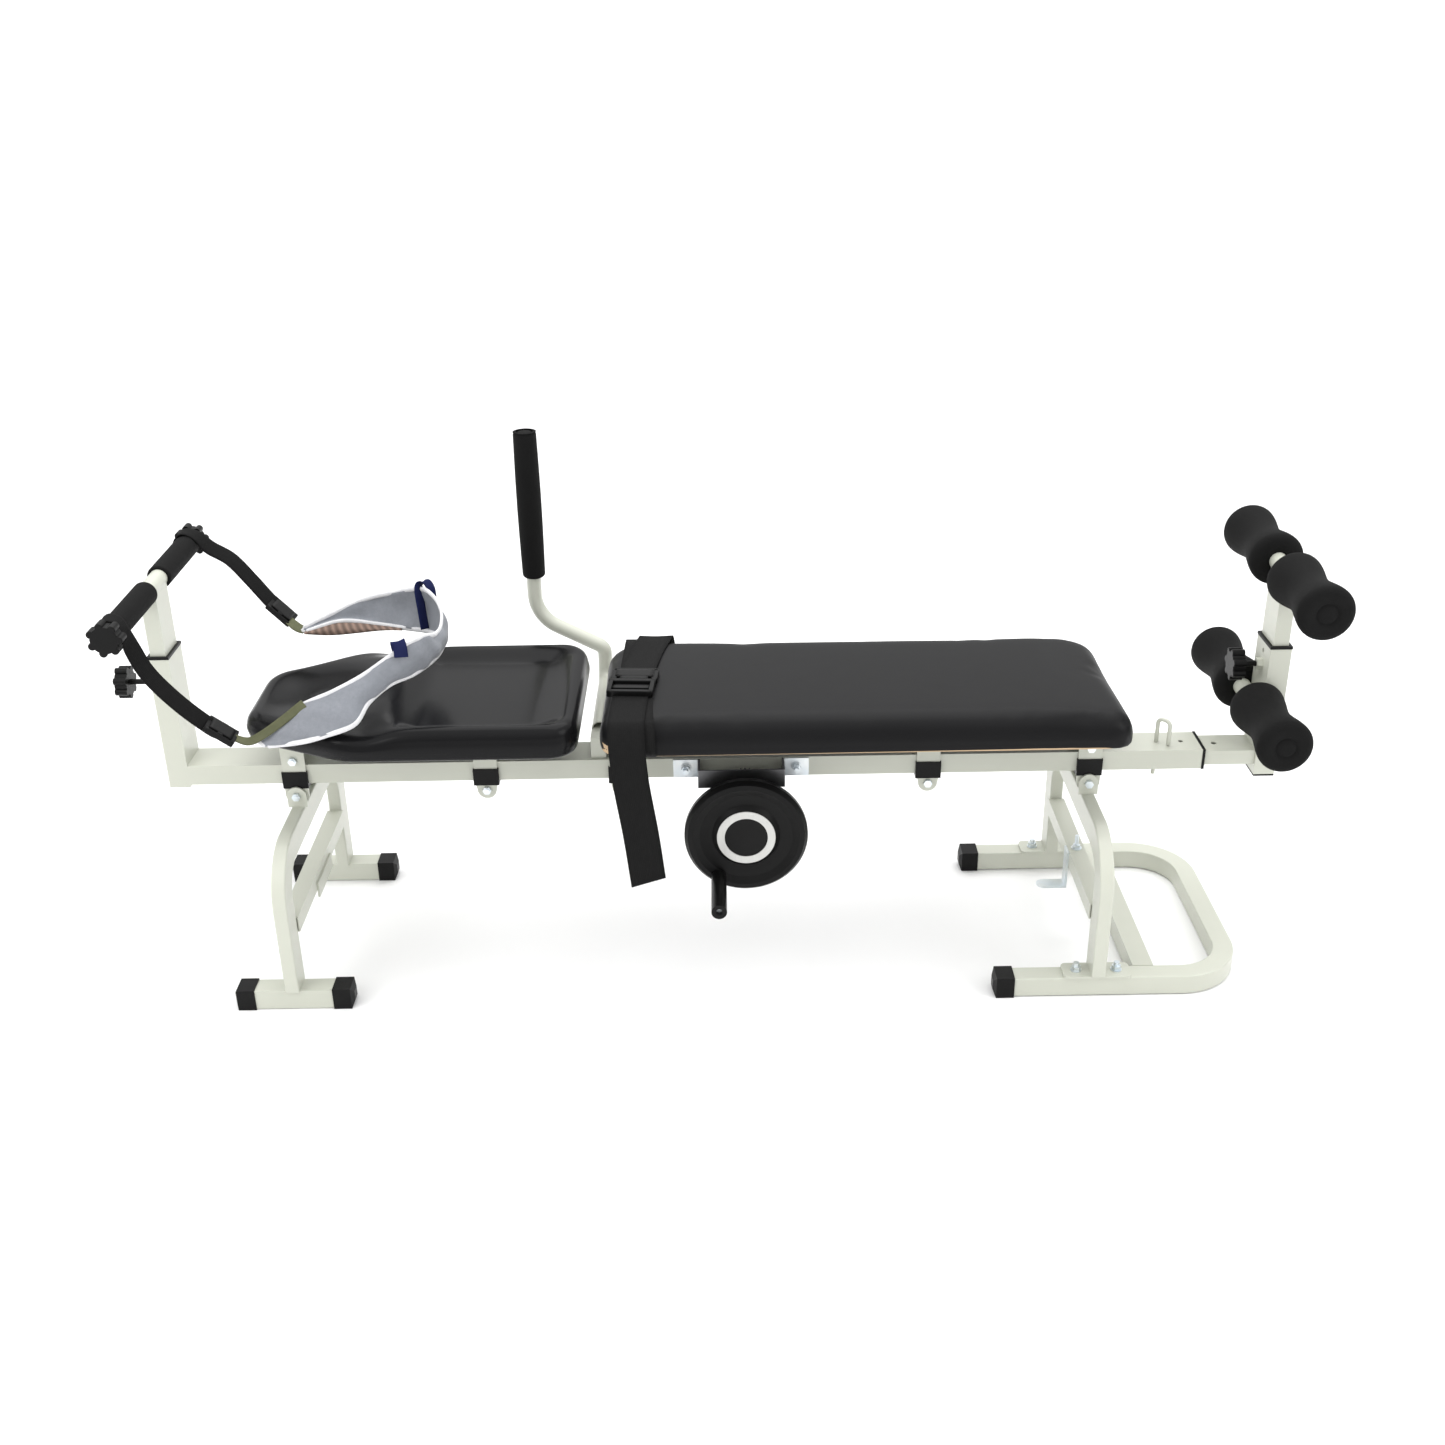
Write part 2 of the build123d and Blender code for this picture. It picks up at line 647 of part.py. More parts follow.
def leg_lugs(mid_x):
    """Two round-topped plates on the leg's beam that turn on the hinge bolt."""
    beam_top = leg_beam_z + leg_tube_y / 2
    half = leg_lug_length / 2
    with BuildPart() as lugs:
        with BuildSketch(Plane.XZ.offset(leg_lug_y)):
            with BuildLine():
                Line((mid_x - half, hinge_z), (mid_x - half, beam_top))
                Line((mid_x - half, beam_top), (mid_x + half, beam_top))
                Line((mid_x + half, beam_top), (mid_x + half, hinge_z))
                ThreePointArc((mid_x + half, hinge_z), (mid_x, hinge_z + half),
                              (mid_x - half, hinge_z))
            make_face()
            with Locations((mid_x, hinge_z)):
                Circle(bolt_radius + running_gap, mode=Mode.SUBTRACT)
        extrude(amount=bracket_wall)
        mirror(about=Plane.XZ)
    return lugs.part


floor_tube_top = floor_tube_z + floor_tube / 2
save(leg_hoop(head_leg_x, floor_tube_top).part, "head_leg_hoop")
crossbar_half = leg_half_spacing - leg_tube_y / 2
with BuildPart() as catch_strip:
    with Locations((head_leg_x + crossbar_size / 2 + 1.5, 0, crossbar_z - crossbar_size / 2)):
        Box(3, 90, 24)
group("head_leg_crossbar", [cross_tube(head_leg_x, crossbar_z, crossbar_size, crossbar_size,
                                       crossbar_half, tube_wall),
                            leg_lugs(head_leg_x), catch_strip.part])
group("foot_leg_crossbar", [cross_tube(foot_leg_x, crossbar_z, crossbar_size, crossbar_size,
                                       crossbar_half, tube_wall), leg_lugs(foot_leg_x)])
with BuildPart() as foot_leg:
    add(leg_hoop(foot_leg_x, floor_tube_top + plate_thickness).part)
    with BuildSketch(Plane.XY.offset(floor_tube_top)):
        with Locations((foot_leg_x, leg_half_spacing), (foot_leg_x, -leg_half_spacing)):
            RectangleRounded(plate_length, plate_width, 8)
        with Locations(*[(foot_leg_x + sx * plate_bolt_half, sy * leg_half_spacing)
                         for sx in (1, -1) for sy in (1, -1)]):
            Circle(bolt_radius, mode=Mode.SUBTRACT)
    extrude(amount=plate_thickness)
save(foot_leg.part, "foot_leg_hoop")


def floor_cap(tip_x, y, side):
    """Plastic end cap on a floor tube, with a shallow pyramid on its end."""
    size = floor_tube + 2 * cap_wall
    with BuildPart() as cap:
        with BuildSketch(Plane.YZ.offset(tip_x - side * 4)):
            with Locations((y, floor_tube_z)):
                Rectangle(size, size)
        extrude(amount=-side * (cap_length - 4))
        with BuildSketch(Plane.YZ.offset(tip_x - side * (cap_wall + 4))):
            with Locations((y, floor_tube_z)):
                Rectangle(floor_tube, floor_tube)
        extrude(amount=-side * cap_length, mode=Mode.SUBTRACT)
        with BuildSketch(Plane.YZ.offset(tip_x - side * 4)):
            with Locations((y, floor_tube_z)):
                Rectangle(size, size)
        with BuildSketch(Plane.YZ.offset(tip_x)):
            with Locations((y, floor_tube_z)):
                Rectangle(size * 0.45, size * 0.45)
        loft()
    return cap.part


cap_seat = 4 + cap_wall
with BuildPart() as head_floor_tubes:
    for side in (1, -1):
        with Locations((head_leg_x, side * leg_half_spacing, floor_tube_z)):
            Box(2 * (head_foot_half - cap_seat), floor_tube, floor_tube)
            Box(2 * head_foot_half, floor_tube - 2 * tube_wall, floor_tube - 2 * tube_wall,
                mode=Mode.SUBTRACT)
save(head_floor_tubes.part, "head_floor_tubes")
with BuildPart() as head_floor_caps:
    for y in (leg_half_spacing, -leg_half_spacing):
        for side in (1, -1):
            add(floor_cap(head_leg_x + side * head_foot_half, y, side))
save(head_floor_caps.part, "head_floor_caps")

with BuildPart() as foot_base:
    with BuildSketch(Plane.XY.offset(floor_tube_z - floor_tube / 2)):
        for size, mode in ((floor_tube / 2, Mode.ADD), (-floor_tube / 2, Mode.SUBTRACT)):
            half = leg_half_spacing + size
            turn = base_turn_x - floor_tube / 2 + size
            with BuildLine(mode=Mode.PRIVATE) as edge:
                FilletPolyline((base_tip_x + cap_seat, -half), (turn, -half), (turn, half),
                               (base_tip_x + cap_seat, half),
                               radius=base_bend_radius + size)
                Line((base_tip_x + cap_seat, half), (base_tip_x + cap_seat, -half))
            make_face(edge.edges(), mode=mode)
    extrude(amount=floor_tube)
    fillet(foot_base.edges().filter_by(Plane.XY).filter_by(GeomType.LINE).filter_by(Axis.X),
           2)
save(foot_base.part, "foot_base")
with BuildPart() as foot_base_caps:
    for y in (leg_half_spacing, -leg_half_spacing):
        add(floor_cap(base_tip_x, y, -1))
save(foot_base_caps.part, "foot_base_caps")
save(cross_tube(brace_x, floor_tube_z, floor_tube, floor_tube,
                leg_half_spacing - floor_tube / 2, tube_wall), "foot_base_brace")

with BuildPart() as foot_plate_bolts:
    with Locations(*[(foot_leg_x + sx * plate_bolt_half, sy * leg_half_spacing)
                     for sx in (1, -1) for sy in (1, -1)]):
        with Locations((0, 0, floor_tube_top)):
            Cylinder(bolt_radius, plate_thickness,
                     align=(Align.CENTER, Align.CENTER, Align.MIN))
        with Locations((0, 0, floor_tube_top + plate_thickness)):
            Cylinder(8, 1.5, align=(Align.CENTER, Align.CENTER, Align.MIN))
            Cylinder(bolt_radius, 13, align=(Align.CENTER, Align.CENTER, Align.MIN))
    for sx in (1, -1):
        for sy in (1, -1):
            with BuildSketch(Plane.XY.offset(floor_tube_top + plate_thickness + 1.5)):
                with Locations((foot_leg_x + sx * plate_bolt_half, sy * leg_half_spacing)):
                    RegularPolygon(6.8, 6)
            extrude(amount=6)

hook_x = foot_leg_x - crossbar_size / 2 - bracket_wall
with BuildPart() as fold_hook:
    with Locations((hook_x + bracket_wall / 2, 0, crossbar_z - 20)):
        Box(bracket_wall, 22, 62)
    with Locations((hook_x - 14, 0, crossbar_z - 51 + bracket_wall / 2)):
        Box(32, 22, bracket_wall)
    with Locations((hook_x - 30, 0, crossbar_z - 51 + bracket_wall / 2)):
        Cylinder(11, bracket_wall)
save(fold_hook.part, "fold_hook")
with BuildPart() as hook_bolt:
    with Locations((foot_leg_x, 0, crossbar_z + crossbar_size / 2)):
        Cylinder(8, 1.5, align=(Align.CENTER, Align.CENTER, Align.MIN))
        Cylinder(3, 22, align=(Align.CENTER, Align.CENTER, Align.MIN))
    with BuildSketch(Plane.XY.offset(crossbar_z + crossbar_size / 2 + 1.5)):
        with Locations((foot_leg_x, 0)):
            RegularPolygon(5.8, 6)
    extrude(amount=5)
group("foot_leg_bolts", [foot_plate_bolts.part, hook_bolt.part])

# ---------------------------------------------------------------- gear train and wheel
with BuildPart() as gear_bracket:
    hat_low = rail_bottom + 1
    with BuildSketch(Plane.XY.offset(hat_low)):
        face = -rail_width / 2
        inner = hat_reach_y + bracket_wall
        with BuildLine():
            Polyline((hat_start_x - tab_length, face), (hat_start_x - tab_length, face - 3),
                     (hat_start_x, face - 3), (hat_start_x, hat_reach_y),
                     (hat_end_x, hat_reach_y), (hat_end_x, face - 3),
                     (hat_end_x + tab_length, face - 3), (hat_end_x + tab_length, face),
                     (hat_end_x - 3, face), (hat_end_x - 3, inner),
                     (hat_start_x + 3, inner), (hat_start_x + 3, face), close=True)
        make_face()
    extrude(amount=rail_height - 2)
    with Locations(*[Location((x, -rail_width / 2, rail_mid_z), (90, 0, 0))
                     for x in tab_bolt_places]):
        Cylinder(bolt_radius, 4 * bracket_wall, mode=Mode.SUBTRACT)
save(gear_bracket.part, "gear_bracket")
housing_low_z = wheel_z - 24
with BuildPart() as gear_housing:
    back_y = gear_width + 6
    with BuildSketch(Plane.XZ.offset(-hat_reach_y - bracket_wall - 0.5)):
        with BuildLine():
            Polyline((wheel_x - 42, rail_bottom), (wheel_x + 42, rail_bottom),
                     (wheel_x + 28, housing_low_z), (wheel_x - 28, housing_low_z), close=True)
        make_face()
    extrude(amount=hat_reach_y + bracket_wall + 0.5 - back_y)
    with BuildSketch(Plane.XZ.offset(-hat_reach_y - bracket_wall - 3)):
        with BuildLine():
            Polyline((wheel_x - 40, rail_bottom + 1), (wheel_x + 40, rail_bottom + 1),
                     (wheel_x + 26, housing_low_z + 2.5), (wheel_x - 26, housing_low_z + 2.5),
                     close=True)
        make_face()
    extrude(amount=hat_reach_y + bracket_wall + 5.5 - back_y, mode=Mode.SUBTRACT)
    with Locations(Location((wheel_x, hat_reach_y, wheel_z), (90, 0, 0))):
        Cylinder(shaft_radius + running_gap, 4 * bracket_wall + 12, mode=Mode.SUBTRACT)
save(gear_housing.part, "gear_housing")

shaft_end_y = gear_y + gear_width / 2
with BuildPart() as wheel_shaft:
    add(y_cylinder(wheel_x, wheel_z, shaft_radius, wheel_face_y + 6, shaft_end_y + 2))
    add(gear(wheel_x, wheel_z, wheel_pinion_teeth, gear_y - gear_width / 2, shaft_end_y,
             shaft_radius - 1, 90))
group("wheel_shafts", [wheel_shaft.part,
                       y_cylinder(crank_x, crank_z, 5, grip_reach_y + 8, wheel_face_y + 18)])
with BuildPart() as reduction_gear:
    add(gear(wheel_x, counter_z, reduction_teeth, gear_y - gear_width / 2, shaft_end_y,
             shaft_radius - 1, -90 + 180 / reduction_teeth))
    add(gear(wheel_x, counter_z, rack_pinion_teeth, -gear_width, gear_width,
             shaft_radius - 1, 90))
    add(y_cylinder(wheel_x, counter_z, shaft_radius, gear_y - gear_width / 2 - 2,
                   gear_width + 2))
save(reduction_gear.part, "reduction_gear")

rack_pitch = math.pi * gear_module
with BuildPart() as rack:
    with BuildSketch(Plane.XZ.offset(gear_width - 1)):
        outline = [(rear_bracket_x - 8, rack_z + rack_height),
                   (wheel_x + 35, rack_z + rack_height)]
        base_z = rack_z + 1.25 * gear_module
        tip_z = rack_z - 0.75 * gear_module
        outline.append((wheel_x + 35, base_z))
        count_right = int(35 / rack_pitch)
        count_left = int((slide_travel + 35) / rack_pitch)
        for tooth in range(count_right - 1, -count_left, -1):
            middle = wheel_x + (tooth + 0.5) * rack_pitch
            outline += [(middle + 0.24 * rack_pitch, base_z), (middle + 0.1 * rack_pitch, tip_z),
                        (middle - 0.1 * rack_pitch, tip_z), (middle - 0.24 * rack_pitch, base_z)]
        outline.append((rear_bracket_x - 8, base_z))
        with BuildLine():
            Polyline(*outline, close=True)
        make_face()
    extrude(amount=-2 * (gear_width - 1))
    with Locations((rear_bracket_x, 0, (rack_z + rack_height + pad_bottom_z - bracket_wall) / 2)):
        Box(16, 10, pad_bottom_z - bracket_wall - rack_z - rack_height)
save(rack.part, "carriage_rack")

with BuildPart() as hand_wheel:
    with BuildSketch(Plane.XY.offset(wheel_z)):
        with BuildLine():
            rim = wheel_x + wheel_radius
            Polyline((wheel_x + shaft_radius, wheel_back_y), (wheel_x + 24, wheel_back_y),
                     (wheel_x + 30, wheel_back_y - 8), (rim - 14, wheel_back_y - 10),
                     (rim - 10, wheel_back_y - 2), (rim - 4, wheel_back_y), (rim, wheel_back_y - 6),
                     (rim, wheel_back_y - 14), (rim - 5, wheel_face_y + 1),
                     (rim - 12, wheel_face_y), (rim - 22, wheel_face_y + 5),
                     (wheel_x + ring_outer + 6, wheel_face_y + 8),
                     (wheel_x + ring_outer, wheel_face_y + 2), (wheel_x, wheel_face_y + 2),
                     (wheel_x, wheel_face_y + 6), (wheel_x + shaft_radius, wheel_face_y + 6),
                     close=True)
        make_face()
    revolve(axis=Axis((wheel_x, 0, wheel_z), (0, 1, 0)))
    with Locations(Location((crank_x, wheel_face_y + 8, crank_z), (90, 0, 0))):
        Cylinder(5, 20, mode=Mode.SUBTRACT)
save(hand_wheel.part, "hand_wheel")
save(y_cylinder(wheel_x, wheel_z, ring_outer - 1, wheel_face_y + 0.5, wheel_face_y + 2,
                ring_inner), "wheel_ring")
save(y_cylinder(crank_x, crank_z, crank_grip_radius, grip_reach_y, wheel_face_y - 2,
                5 + running_gap), "crank_grip")

# ---------------------------------------------------------------- grab bar
with BuildPart() as grab_bar:
    with BuildLine():
        FilletPolyline((grab_x, grab_y, grab_top_z - 6), (grab_x - 2, grab_y, 452),
                       (grab_foot_x, grab_y, 398), (grab_foot_x, grab_y, 346),
                       (grab_foot_x, 8, 346), radius=[60, 16, 26])
    with BuildSketch(Plane(origin=(grab_x, grab_y, grab_top_z - 6), z_dir=(0, 0, -1))):
        Circle(grab_radius)
        Circle(grab_radius - bar_wall, mode=Mode.SUBTRACT)
    sweep()
    with Locations((grab_foot_x, 0, (rail_top + 346) / 2)):
        Box(2 * grab_radius, 50, 346 - rail_top)
save(grab_bar.part, "grab_bar")
with BuildPart() as grab_grip:
    tilt = Plane(origin=(grab_x, grab_y, grab_top_z - 6), x_dir=(1, 0, 0),
                 z_dir=(-2, 0, -(grab_top_z - 6 - 452)))
    with BuildSketch(tilt.offset(-6)):
        Circle(grab_grip_radius)
    extrude(amount=grab_grip_length)
    fillet(grab_grip.edges().group_by(Axis.Z)[-1], 5)
    with BuildSketch(tilt):
        Circle(grab_radius)
    extrude(amount=grab_grip_length, mode=Mode.SUBTRACT)
save(grab_grip.part, "grab_bar_grip")

# ---------------------------------------------------------------- soft goods
belt_x = -112
belt_width = 50
belt_thickness = 3
belt_gap = 0.5
tail_low_z = 188
belt_half = pad_half_width + belt_gap
with BuildPart() as waist_belt:
    with BuildSketch(Plane.YZ.offset(belt_x - belt_width / 2)):
        with BuildLine():
            FilletPolyline((-belt_half - belt_thickness, pad_bottom_z + 6),
                           (-belt_half - belt_thickness, pad_top_z + belt_gap + belt_thickness),
                           (belt_half + belt_thickness, pad_top_z + belt_gap + belt_thickness),
                           (belt_half + belt_thickness, pad_bottom_z + 6),
                           radius=14 + belt_thickness)
            Line((belt_half + belt_thickness, pad_bottom_z + 6), (belt_half, pad_bottom_z + 6))
            FilletPolyline((belt_half, pad_bottom_z + 6), (belt_half, pad_top_z + belt_gap),
                           (-belt_half, pad_top_z + belt_gap), (-belt_half, pad_bottom_z + 6),
                           radius=14)
            Line((-belt_half, pad_bottom_z + 6), (-belt_half - belt_thickness, pad_bottom_z + 6))
        make_face()
    extrude(amount=belt_width)
with BuildPart() as belt_tail:
    with Locations((belt_x + 8, -belt_half - 3 * belt_thickness, (tail_low_z + pad_top_z - 22) / 2)):
        Box(belt_width, 2, pad_top_z - 22 - tail_low_z)
group("waist_belt", [waist_belt.part, belt_tail.part])
with BuildPart() as belt_buckle:
    with Locations((belt_x + 4, -30, pad_top_z + belt_gap + belt_thickness + 6.5)):
        Box(66, 62, 12)
    fillet(belt_buckle.edges().filter_by(Axis.Z), 6)
save(belt_buckle.part, "belt_buckle")

collar_low_z = pad_top_z + 4
collar_high_z = collar_low_z + 100
collar_back_x = -402
collar_half = 122
with BuildPart() as harness_collar:
    with BuildSketch(Plane.XY.offset(collar_low_z)):
        with BuildLine():
            FilletPolyline((-610, -collar_half), (collar_back_x, -collar_half),
                           (collar_back_x, collar_half), (-610, collar_half), radius=80)
            Line((-610, collar_half), (-610, collar_half - 8))
            FilletPolyline((-610, collar_half - 8), (collar_back_x - 8, collar_half - 8),
                           (collar_back_x - 8, -collar_half + 8), (-610, -collar_half + 8),
                           radius=72)
            Line((-610, -collar_half + 8), (-610, -collar_half))
        make_face()
    extrude(amount=collar_high_z - collar_low_z)
save(harness_collar.part, "harness_collar")


def strap_between(start, end, width, thickness):
    """Straight flat strap from start to end, its width across the bench's Y."""
    run = Vector(*end) - Vector(*start)
    with BuildPart() as strap:
        with BuildSketch(Plane(origin=start, x_dir=(0, 1, 0), z_dir=run)):
            Rectangle(width, thickness)
        extrude(amount=run.length)
    return strap.part


strap_width = 25
strap_y = 150
group("harness_straps", [
    strap_between((post_mid_x + bar_radius + 14, side * (strap_y + 12), head_bar_z - 12),
                  (-676, side * strap_y, 466), strap_width, 3) for side in (-1, 1)])
with BuildPart() as harness_buckles:
    with Locations((-655, -strap_y, 450), (-655, strap_y, 450)):
        Box(34, 32, 10)
save(harness_buckles.part, "harness_buckles")
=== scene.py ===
# %% [markdown]
# Traction bench: a steel rail on two folding legs, a moulded head pad, a sliding leg pad,
# foam grips and rollers, a waist belt and a head halter.  The hard parts come from the CAD
# frame and only need their finishes here.  The soft parts are made in this script, because
# CAD solids can't show cloth, foam or upholstery.

# %% Load the frame
import json
import math

import bmesh
import bpy
import numpy as np
from mathutils import Matrix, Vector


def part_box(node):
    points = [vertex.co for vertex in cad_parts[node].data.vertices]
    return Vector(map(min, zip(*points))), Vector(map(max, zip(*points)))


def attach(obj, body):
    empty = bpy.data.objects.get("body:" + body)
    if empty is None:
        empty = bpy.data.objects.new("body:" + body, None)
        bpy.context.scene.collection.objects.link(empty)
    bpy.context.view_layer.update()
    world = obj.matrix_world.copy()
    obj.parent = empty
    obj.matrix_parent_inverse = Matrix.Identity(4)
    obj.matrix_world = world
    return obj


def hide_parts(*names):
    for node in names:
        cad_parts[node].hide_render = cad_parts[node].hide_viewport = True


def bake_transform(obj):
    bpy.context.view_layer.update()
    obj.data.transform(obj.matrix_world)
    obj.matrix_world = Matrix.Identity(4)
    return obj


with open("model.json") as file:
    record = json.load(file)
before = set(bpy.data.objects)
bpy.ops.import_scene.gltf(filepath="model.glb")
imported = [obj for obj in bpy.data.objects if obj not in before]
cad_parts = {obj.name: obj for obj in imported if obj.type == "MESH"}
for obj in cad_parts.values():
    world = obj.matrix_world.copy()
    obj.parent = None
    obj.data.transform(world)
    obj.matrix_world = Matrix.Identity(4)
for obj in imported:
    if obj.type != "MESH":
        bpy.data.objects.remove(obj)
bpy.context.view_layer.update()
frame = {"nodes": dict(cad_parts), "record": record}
MM = 0.001

# %% [markdown]
# The camera stands in front of the hand wheel, a little above the bench, and looks down at
# it.  It comes first, so that every later step can be looked at from the same place.

# %% Camera
CAMERA_PLACE = (0.0186, -2.1337, 1.3820)
CAMERA_PITCH, CAMERA_ROLL = math.radians(25.69), math.radians(-0.94)
CAMERA_LENS = 40.46

camera_data = bpy.data.cameras.new("studio_camera")
camera_data.lens, camera_data.sensor_width = CAMERA_LENS, 36.0
camera = bpy.data.objects.new("studio_camera", camera_data)
bpy.context.collection.objects.link(camera)
UPRIGHT = math.radians(90)
camera.matrix_world = (Matrix.Translation(CAMERA_PLACE)
                       @ Matrix.Rotation(UPRIGHT - CAMERA_PITCH, 4, "X")
                       @ Matrix.Rotation(CAMERA_ROLL, 4, "Z"))
bpy.context.scene.camera = camera
print("camera at", CAMERA_PLACE, "lens", CAMERA_LENS, "mm")

# %% [markdown]
# Every new piece is a grid of points worked out with numpy.  Meshes could be modelled face
# by face, but a grid keeps the shape in one formula and its size in metres.  These helpers
# turn a grid into a mesh, draw a smooth path through points, and measure along it.

# %% Mesh helpers
def grid_faces(rows, columns, close_rows=False, close_columns=False):
    """Quads between neighbouring points of a grid: (r, c), (r, c+1), (r+1, c+1), (r+1, c),
    with the last row or column joined to the first where it closes."""
    r, c = np.meshgrid(np.arange(rows - (not close_rows)),
                       np.arange(columns - (not close_columns)), indexing="ij")
    r1, c1 = (r + 1) % rows, (c + 1) % columns
    corners = [r * columns + c, r * columns + c1, r1 * columns + c1, r1 * columns + c]
    return np.stack(corners, -1).reshape(-1, 4)


def make_piece(name, points, faces, finish, uv=None, weld=0.0, smooth=True):
    """A mesh object from points in metres and quads.  weld merges points closer than that
    and turns the faces outwards.  uv has one pair per point, in metres of cloth."""
    mesh = bpy.data.meshes.new(name)
    mesh.from_pydata(np.asarray(points, float).reshape(-1, 3).tolist(), [], faces.tolist())
    if uv is not None:
        layer = mesh.uv_layers.new(name="cloth")
        loops = np.empty(len(mesh.loops), int)
        mesh.loops.foreach_get("vertex_index", loops)
        layer.data.foreach_set("uv", np.asarray(uv, float).reshape(-1, 2)[loops].ravel())
    if weld:
        work = bmesh.new()
        work.from_mesh(mesh)
        bmesh.ops.remove_doubles(work, verts=work.verts, dist=weld)
        bmesh.ops.recalc_face_normals(work, faces=work.faces)
        work.to_mesh(mesh)
        work.free()
    mesh.polygons.foreach_set("use_smooth", np.full(len(mesh.polygons), smooth))
    mesh.materials.append(finish)
    piece = bpy.data.objects.new(name, mesh)
    bpy.context.collection.objects.link(piece)
    return piece


def smooth_path(points, count):
    """A Catmull-Rom curve through the points, sampled evenly in the point number: each span
    is a cubic whose slope at a point is half the step between its two neighbours."""
    p = np.asarray(points, float)
    p = np.vstack([2 * p[0] - p[1], p, 2 * p[-1] - p[-2]])
    t = np.linspace(0, len(p) - 3, count)
    i = np.minimum(t.astype(int), len(p) - 4)
    f = (t - i)[:, None]
    a, b, c, d = p[i], p[i + 1], p[i + 2], p[i + 3]
    return 0.5 * (2 * b + (c - a) * f + (2 * a - 5 * b + 4 * c - d) * f ** 2
                  + (3 * b - a - 3 * c + d) * f ** 3)


def lengths_along(path):
    """Distance walked from the first point to each point."""
    return np.concatenate([[0], np.cumsum(np.linalg.norm(np.diff(path, axis=0), axis=1))])


def unit(v):
    """Vectors of length 1: v / |v|."""
    return v / np.maximum(np.linalg.norm(v, axis=-1, keepdims=True), 1e-9)


def smoothstep(x):
    """0 below 0, 1 above 1, and 3x^2 - 2x^3 between."""
    x = np.clip(x, 0, 1)
    return x * x * (3 - 2 * x)


# %% [markdown]
# A finish is a Principled shader with patterns wired to its colour, roughness and normal.
# Nodes could be placed one by one, but arithmetic on sockets reads like the formula it is:
# a Wire stands for one output, and a Finish holds the material and makes its nodes.

# %% Shader helpers
class Wire:
    """An output socket.  + - * / on it, with a number or another Wire, add a Math node."""

    def __init__(self, finish, socket):
        self.finish, self.socket = finish, socket

    def _math(self, operation, a, b):
        return self.finish.node("ShaderNodeMath", {"operation": operation}, {0: a, 1: b})

    def __add__(self, other): return self._math("ADD", self, other)
    def __radd__(self, other): return self._math("ADD", other, self)
    def __sub__(self, other): return self._math("SUBTRACT", self, other)
    def __rsub__(self, other): return self._math("SUBTRACT", other, self)
    def __mul__(self, other): return self._math("MULTIPLY", self, other)
    def __rmul__(self, other): return self._math("MULTIPLY", other, self)


class Finish:
    """A material: fixed numbers go straight on the shader's sockets, patterns are wired."""

    def __init__(self, name, colour, roughness, metallic=0.0, **fixed):
        self.material = bpy.data.materials.new(name)
        self.material.use_nodes = True
        self.material.diffuse_color = (*colour, 1)
        self.tree = self.material.node_tree
        self.shader = self.tree.nodes["Principled BSDF"]
        self.set("Base Color", (*colour, 1))
        self.set("Roughness", roughness)
        self.set("Metallic", metallic)
        for socket, value in fixed.items():
            self.set(socket.replace("_", " "), value)
        self.colour = colour
        self.place = self.node("ShaderNodeTexCoord", out="Object")

    def set(self, socket, value):
        """A value or a Wire for one of the shader's own sockets."""
        self.feed(self.shader.inputs[socket], value)

    def feed(self, socket, value):
        if isinstance(value, Wire):
            self.tree.links.new(value.socket, socket)
        else:
            socket.default_value = value

    def node(self, kind, settings=None, inputs=None, out=0):
        """Any node: its settings first, then its sockets, and one of its outputs."""
        made = self.tree.nodes.new(kind)
        for key, value in (settings or {}).items():
            setattr(made, key, value)
        for key, value in (inputs or {}).items():
            self.feed(made.inputs[key], value)
        return Wire(self, made.outputs[out])

    def noise(self, scale, detail=3.0, roughness=0.5, stretch=(1, 1, 1)):
        """Soft noise between 0 and 1; scale is in cells per metre, times stretch per axis."""
        place = self.node("ShaderNodeMapping", {}, {"Vector": self.place, "Scale": stretch})
        return self.node("ShaderNodeTexNoise", {"noise_dimensions": "3D"},
                         {"Vector": place, "Scale": scale, "Detail": detail,
                          "Roughness": roughness}, out="Fac")

    def cells(self, scale):
        """Rounded pebbles: the distance to the nearest of scattered points."""
        return self.node("ShaderNodeTexVoronoi", {"feature": "SMOOTH_F1"},
                         {"Vector": self.place, "Scale": scale}, out="Distance")

    def mix(self, a, b, factor):
        """Colour a where factor is 0 and b where it is 1."""
        return self.node("ShaderNodeMix", {"data_type": "RGBA"},
                         {0: factor, 6: a, 7: b}, out=2)

    def tint(self, factor, low=0.85, high=1.15):
        """The base colour, darker by low where factor is 0 and lighter by high where 1."""
        dark = tuple(min(1, c * low) for c in self.colour) + (1,)
        light = tuple(min(1, c * high) for c in self.colour) + (1,)
        self.set("Base Color", self.mix(dark, light, factor))

    def bump(self, height, distance, strength=1.0):
        """Small relief: distance is its real depth in metres."""
        self.set("Normal", self.node("ShaderNodeBump", {},
                                     {"Height": height, "Distance": distance,
                                      "Strength": strength}))

    def across(self):
        """Cloth coordinates in metres: u across the webbing, v along it."""
        uv = self.node("ShaderNodeUVMap", {"uv_map": "cloth"})
        split = self.node("ShaderNodeSeparateXYZ", {}, {0: uv})
        return split, self.node("ShaderNodeSeparateXYZ", {}, {0: uv}, out=1)

    def wave(self, value, pitch):
        """A sine between 0 and 1 that repeats every pitch metres."""
        turned = self.node("ShaderNodeMath", {"operation": "SINE"},
                           {0: value * (2 * math.pi / pitch)})
        return turned * 0.5 + 0.5


# %% [markdown]
# The steel is powder coated in a greenish off-white: a satin skin with a faint orange peel.
# Zinc shows soft blue and straw clouds, and the plastics are black with a fine grain.  Each
# could be one flat colour, but small changes of tone and roughness are what the eye reads as
# paint, plating or plastic.  A tint is a share of the base colour, and a bump is in metres.

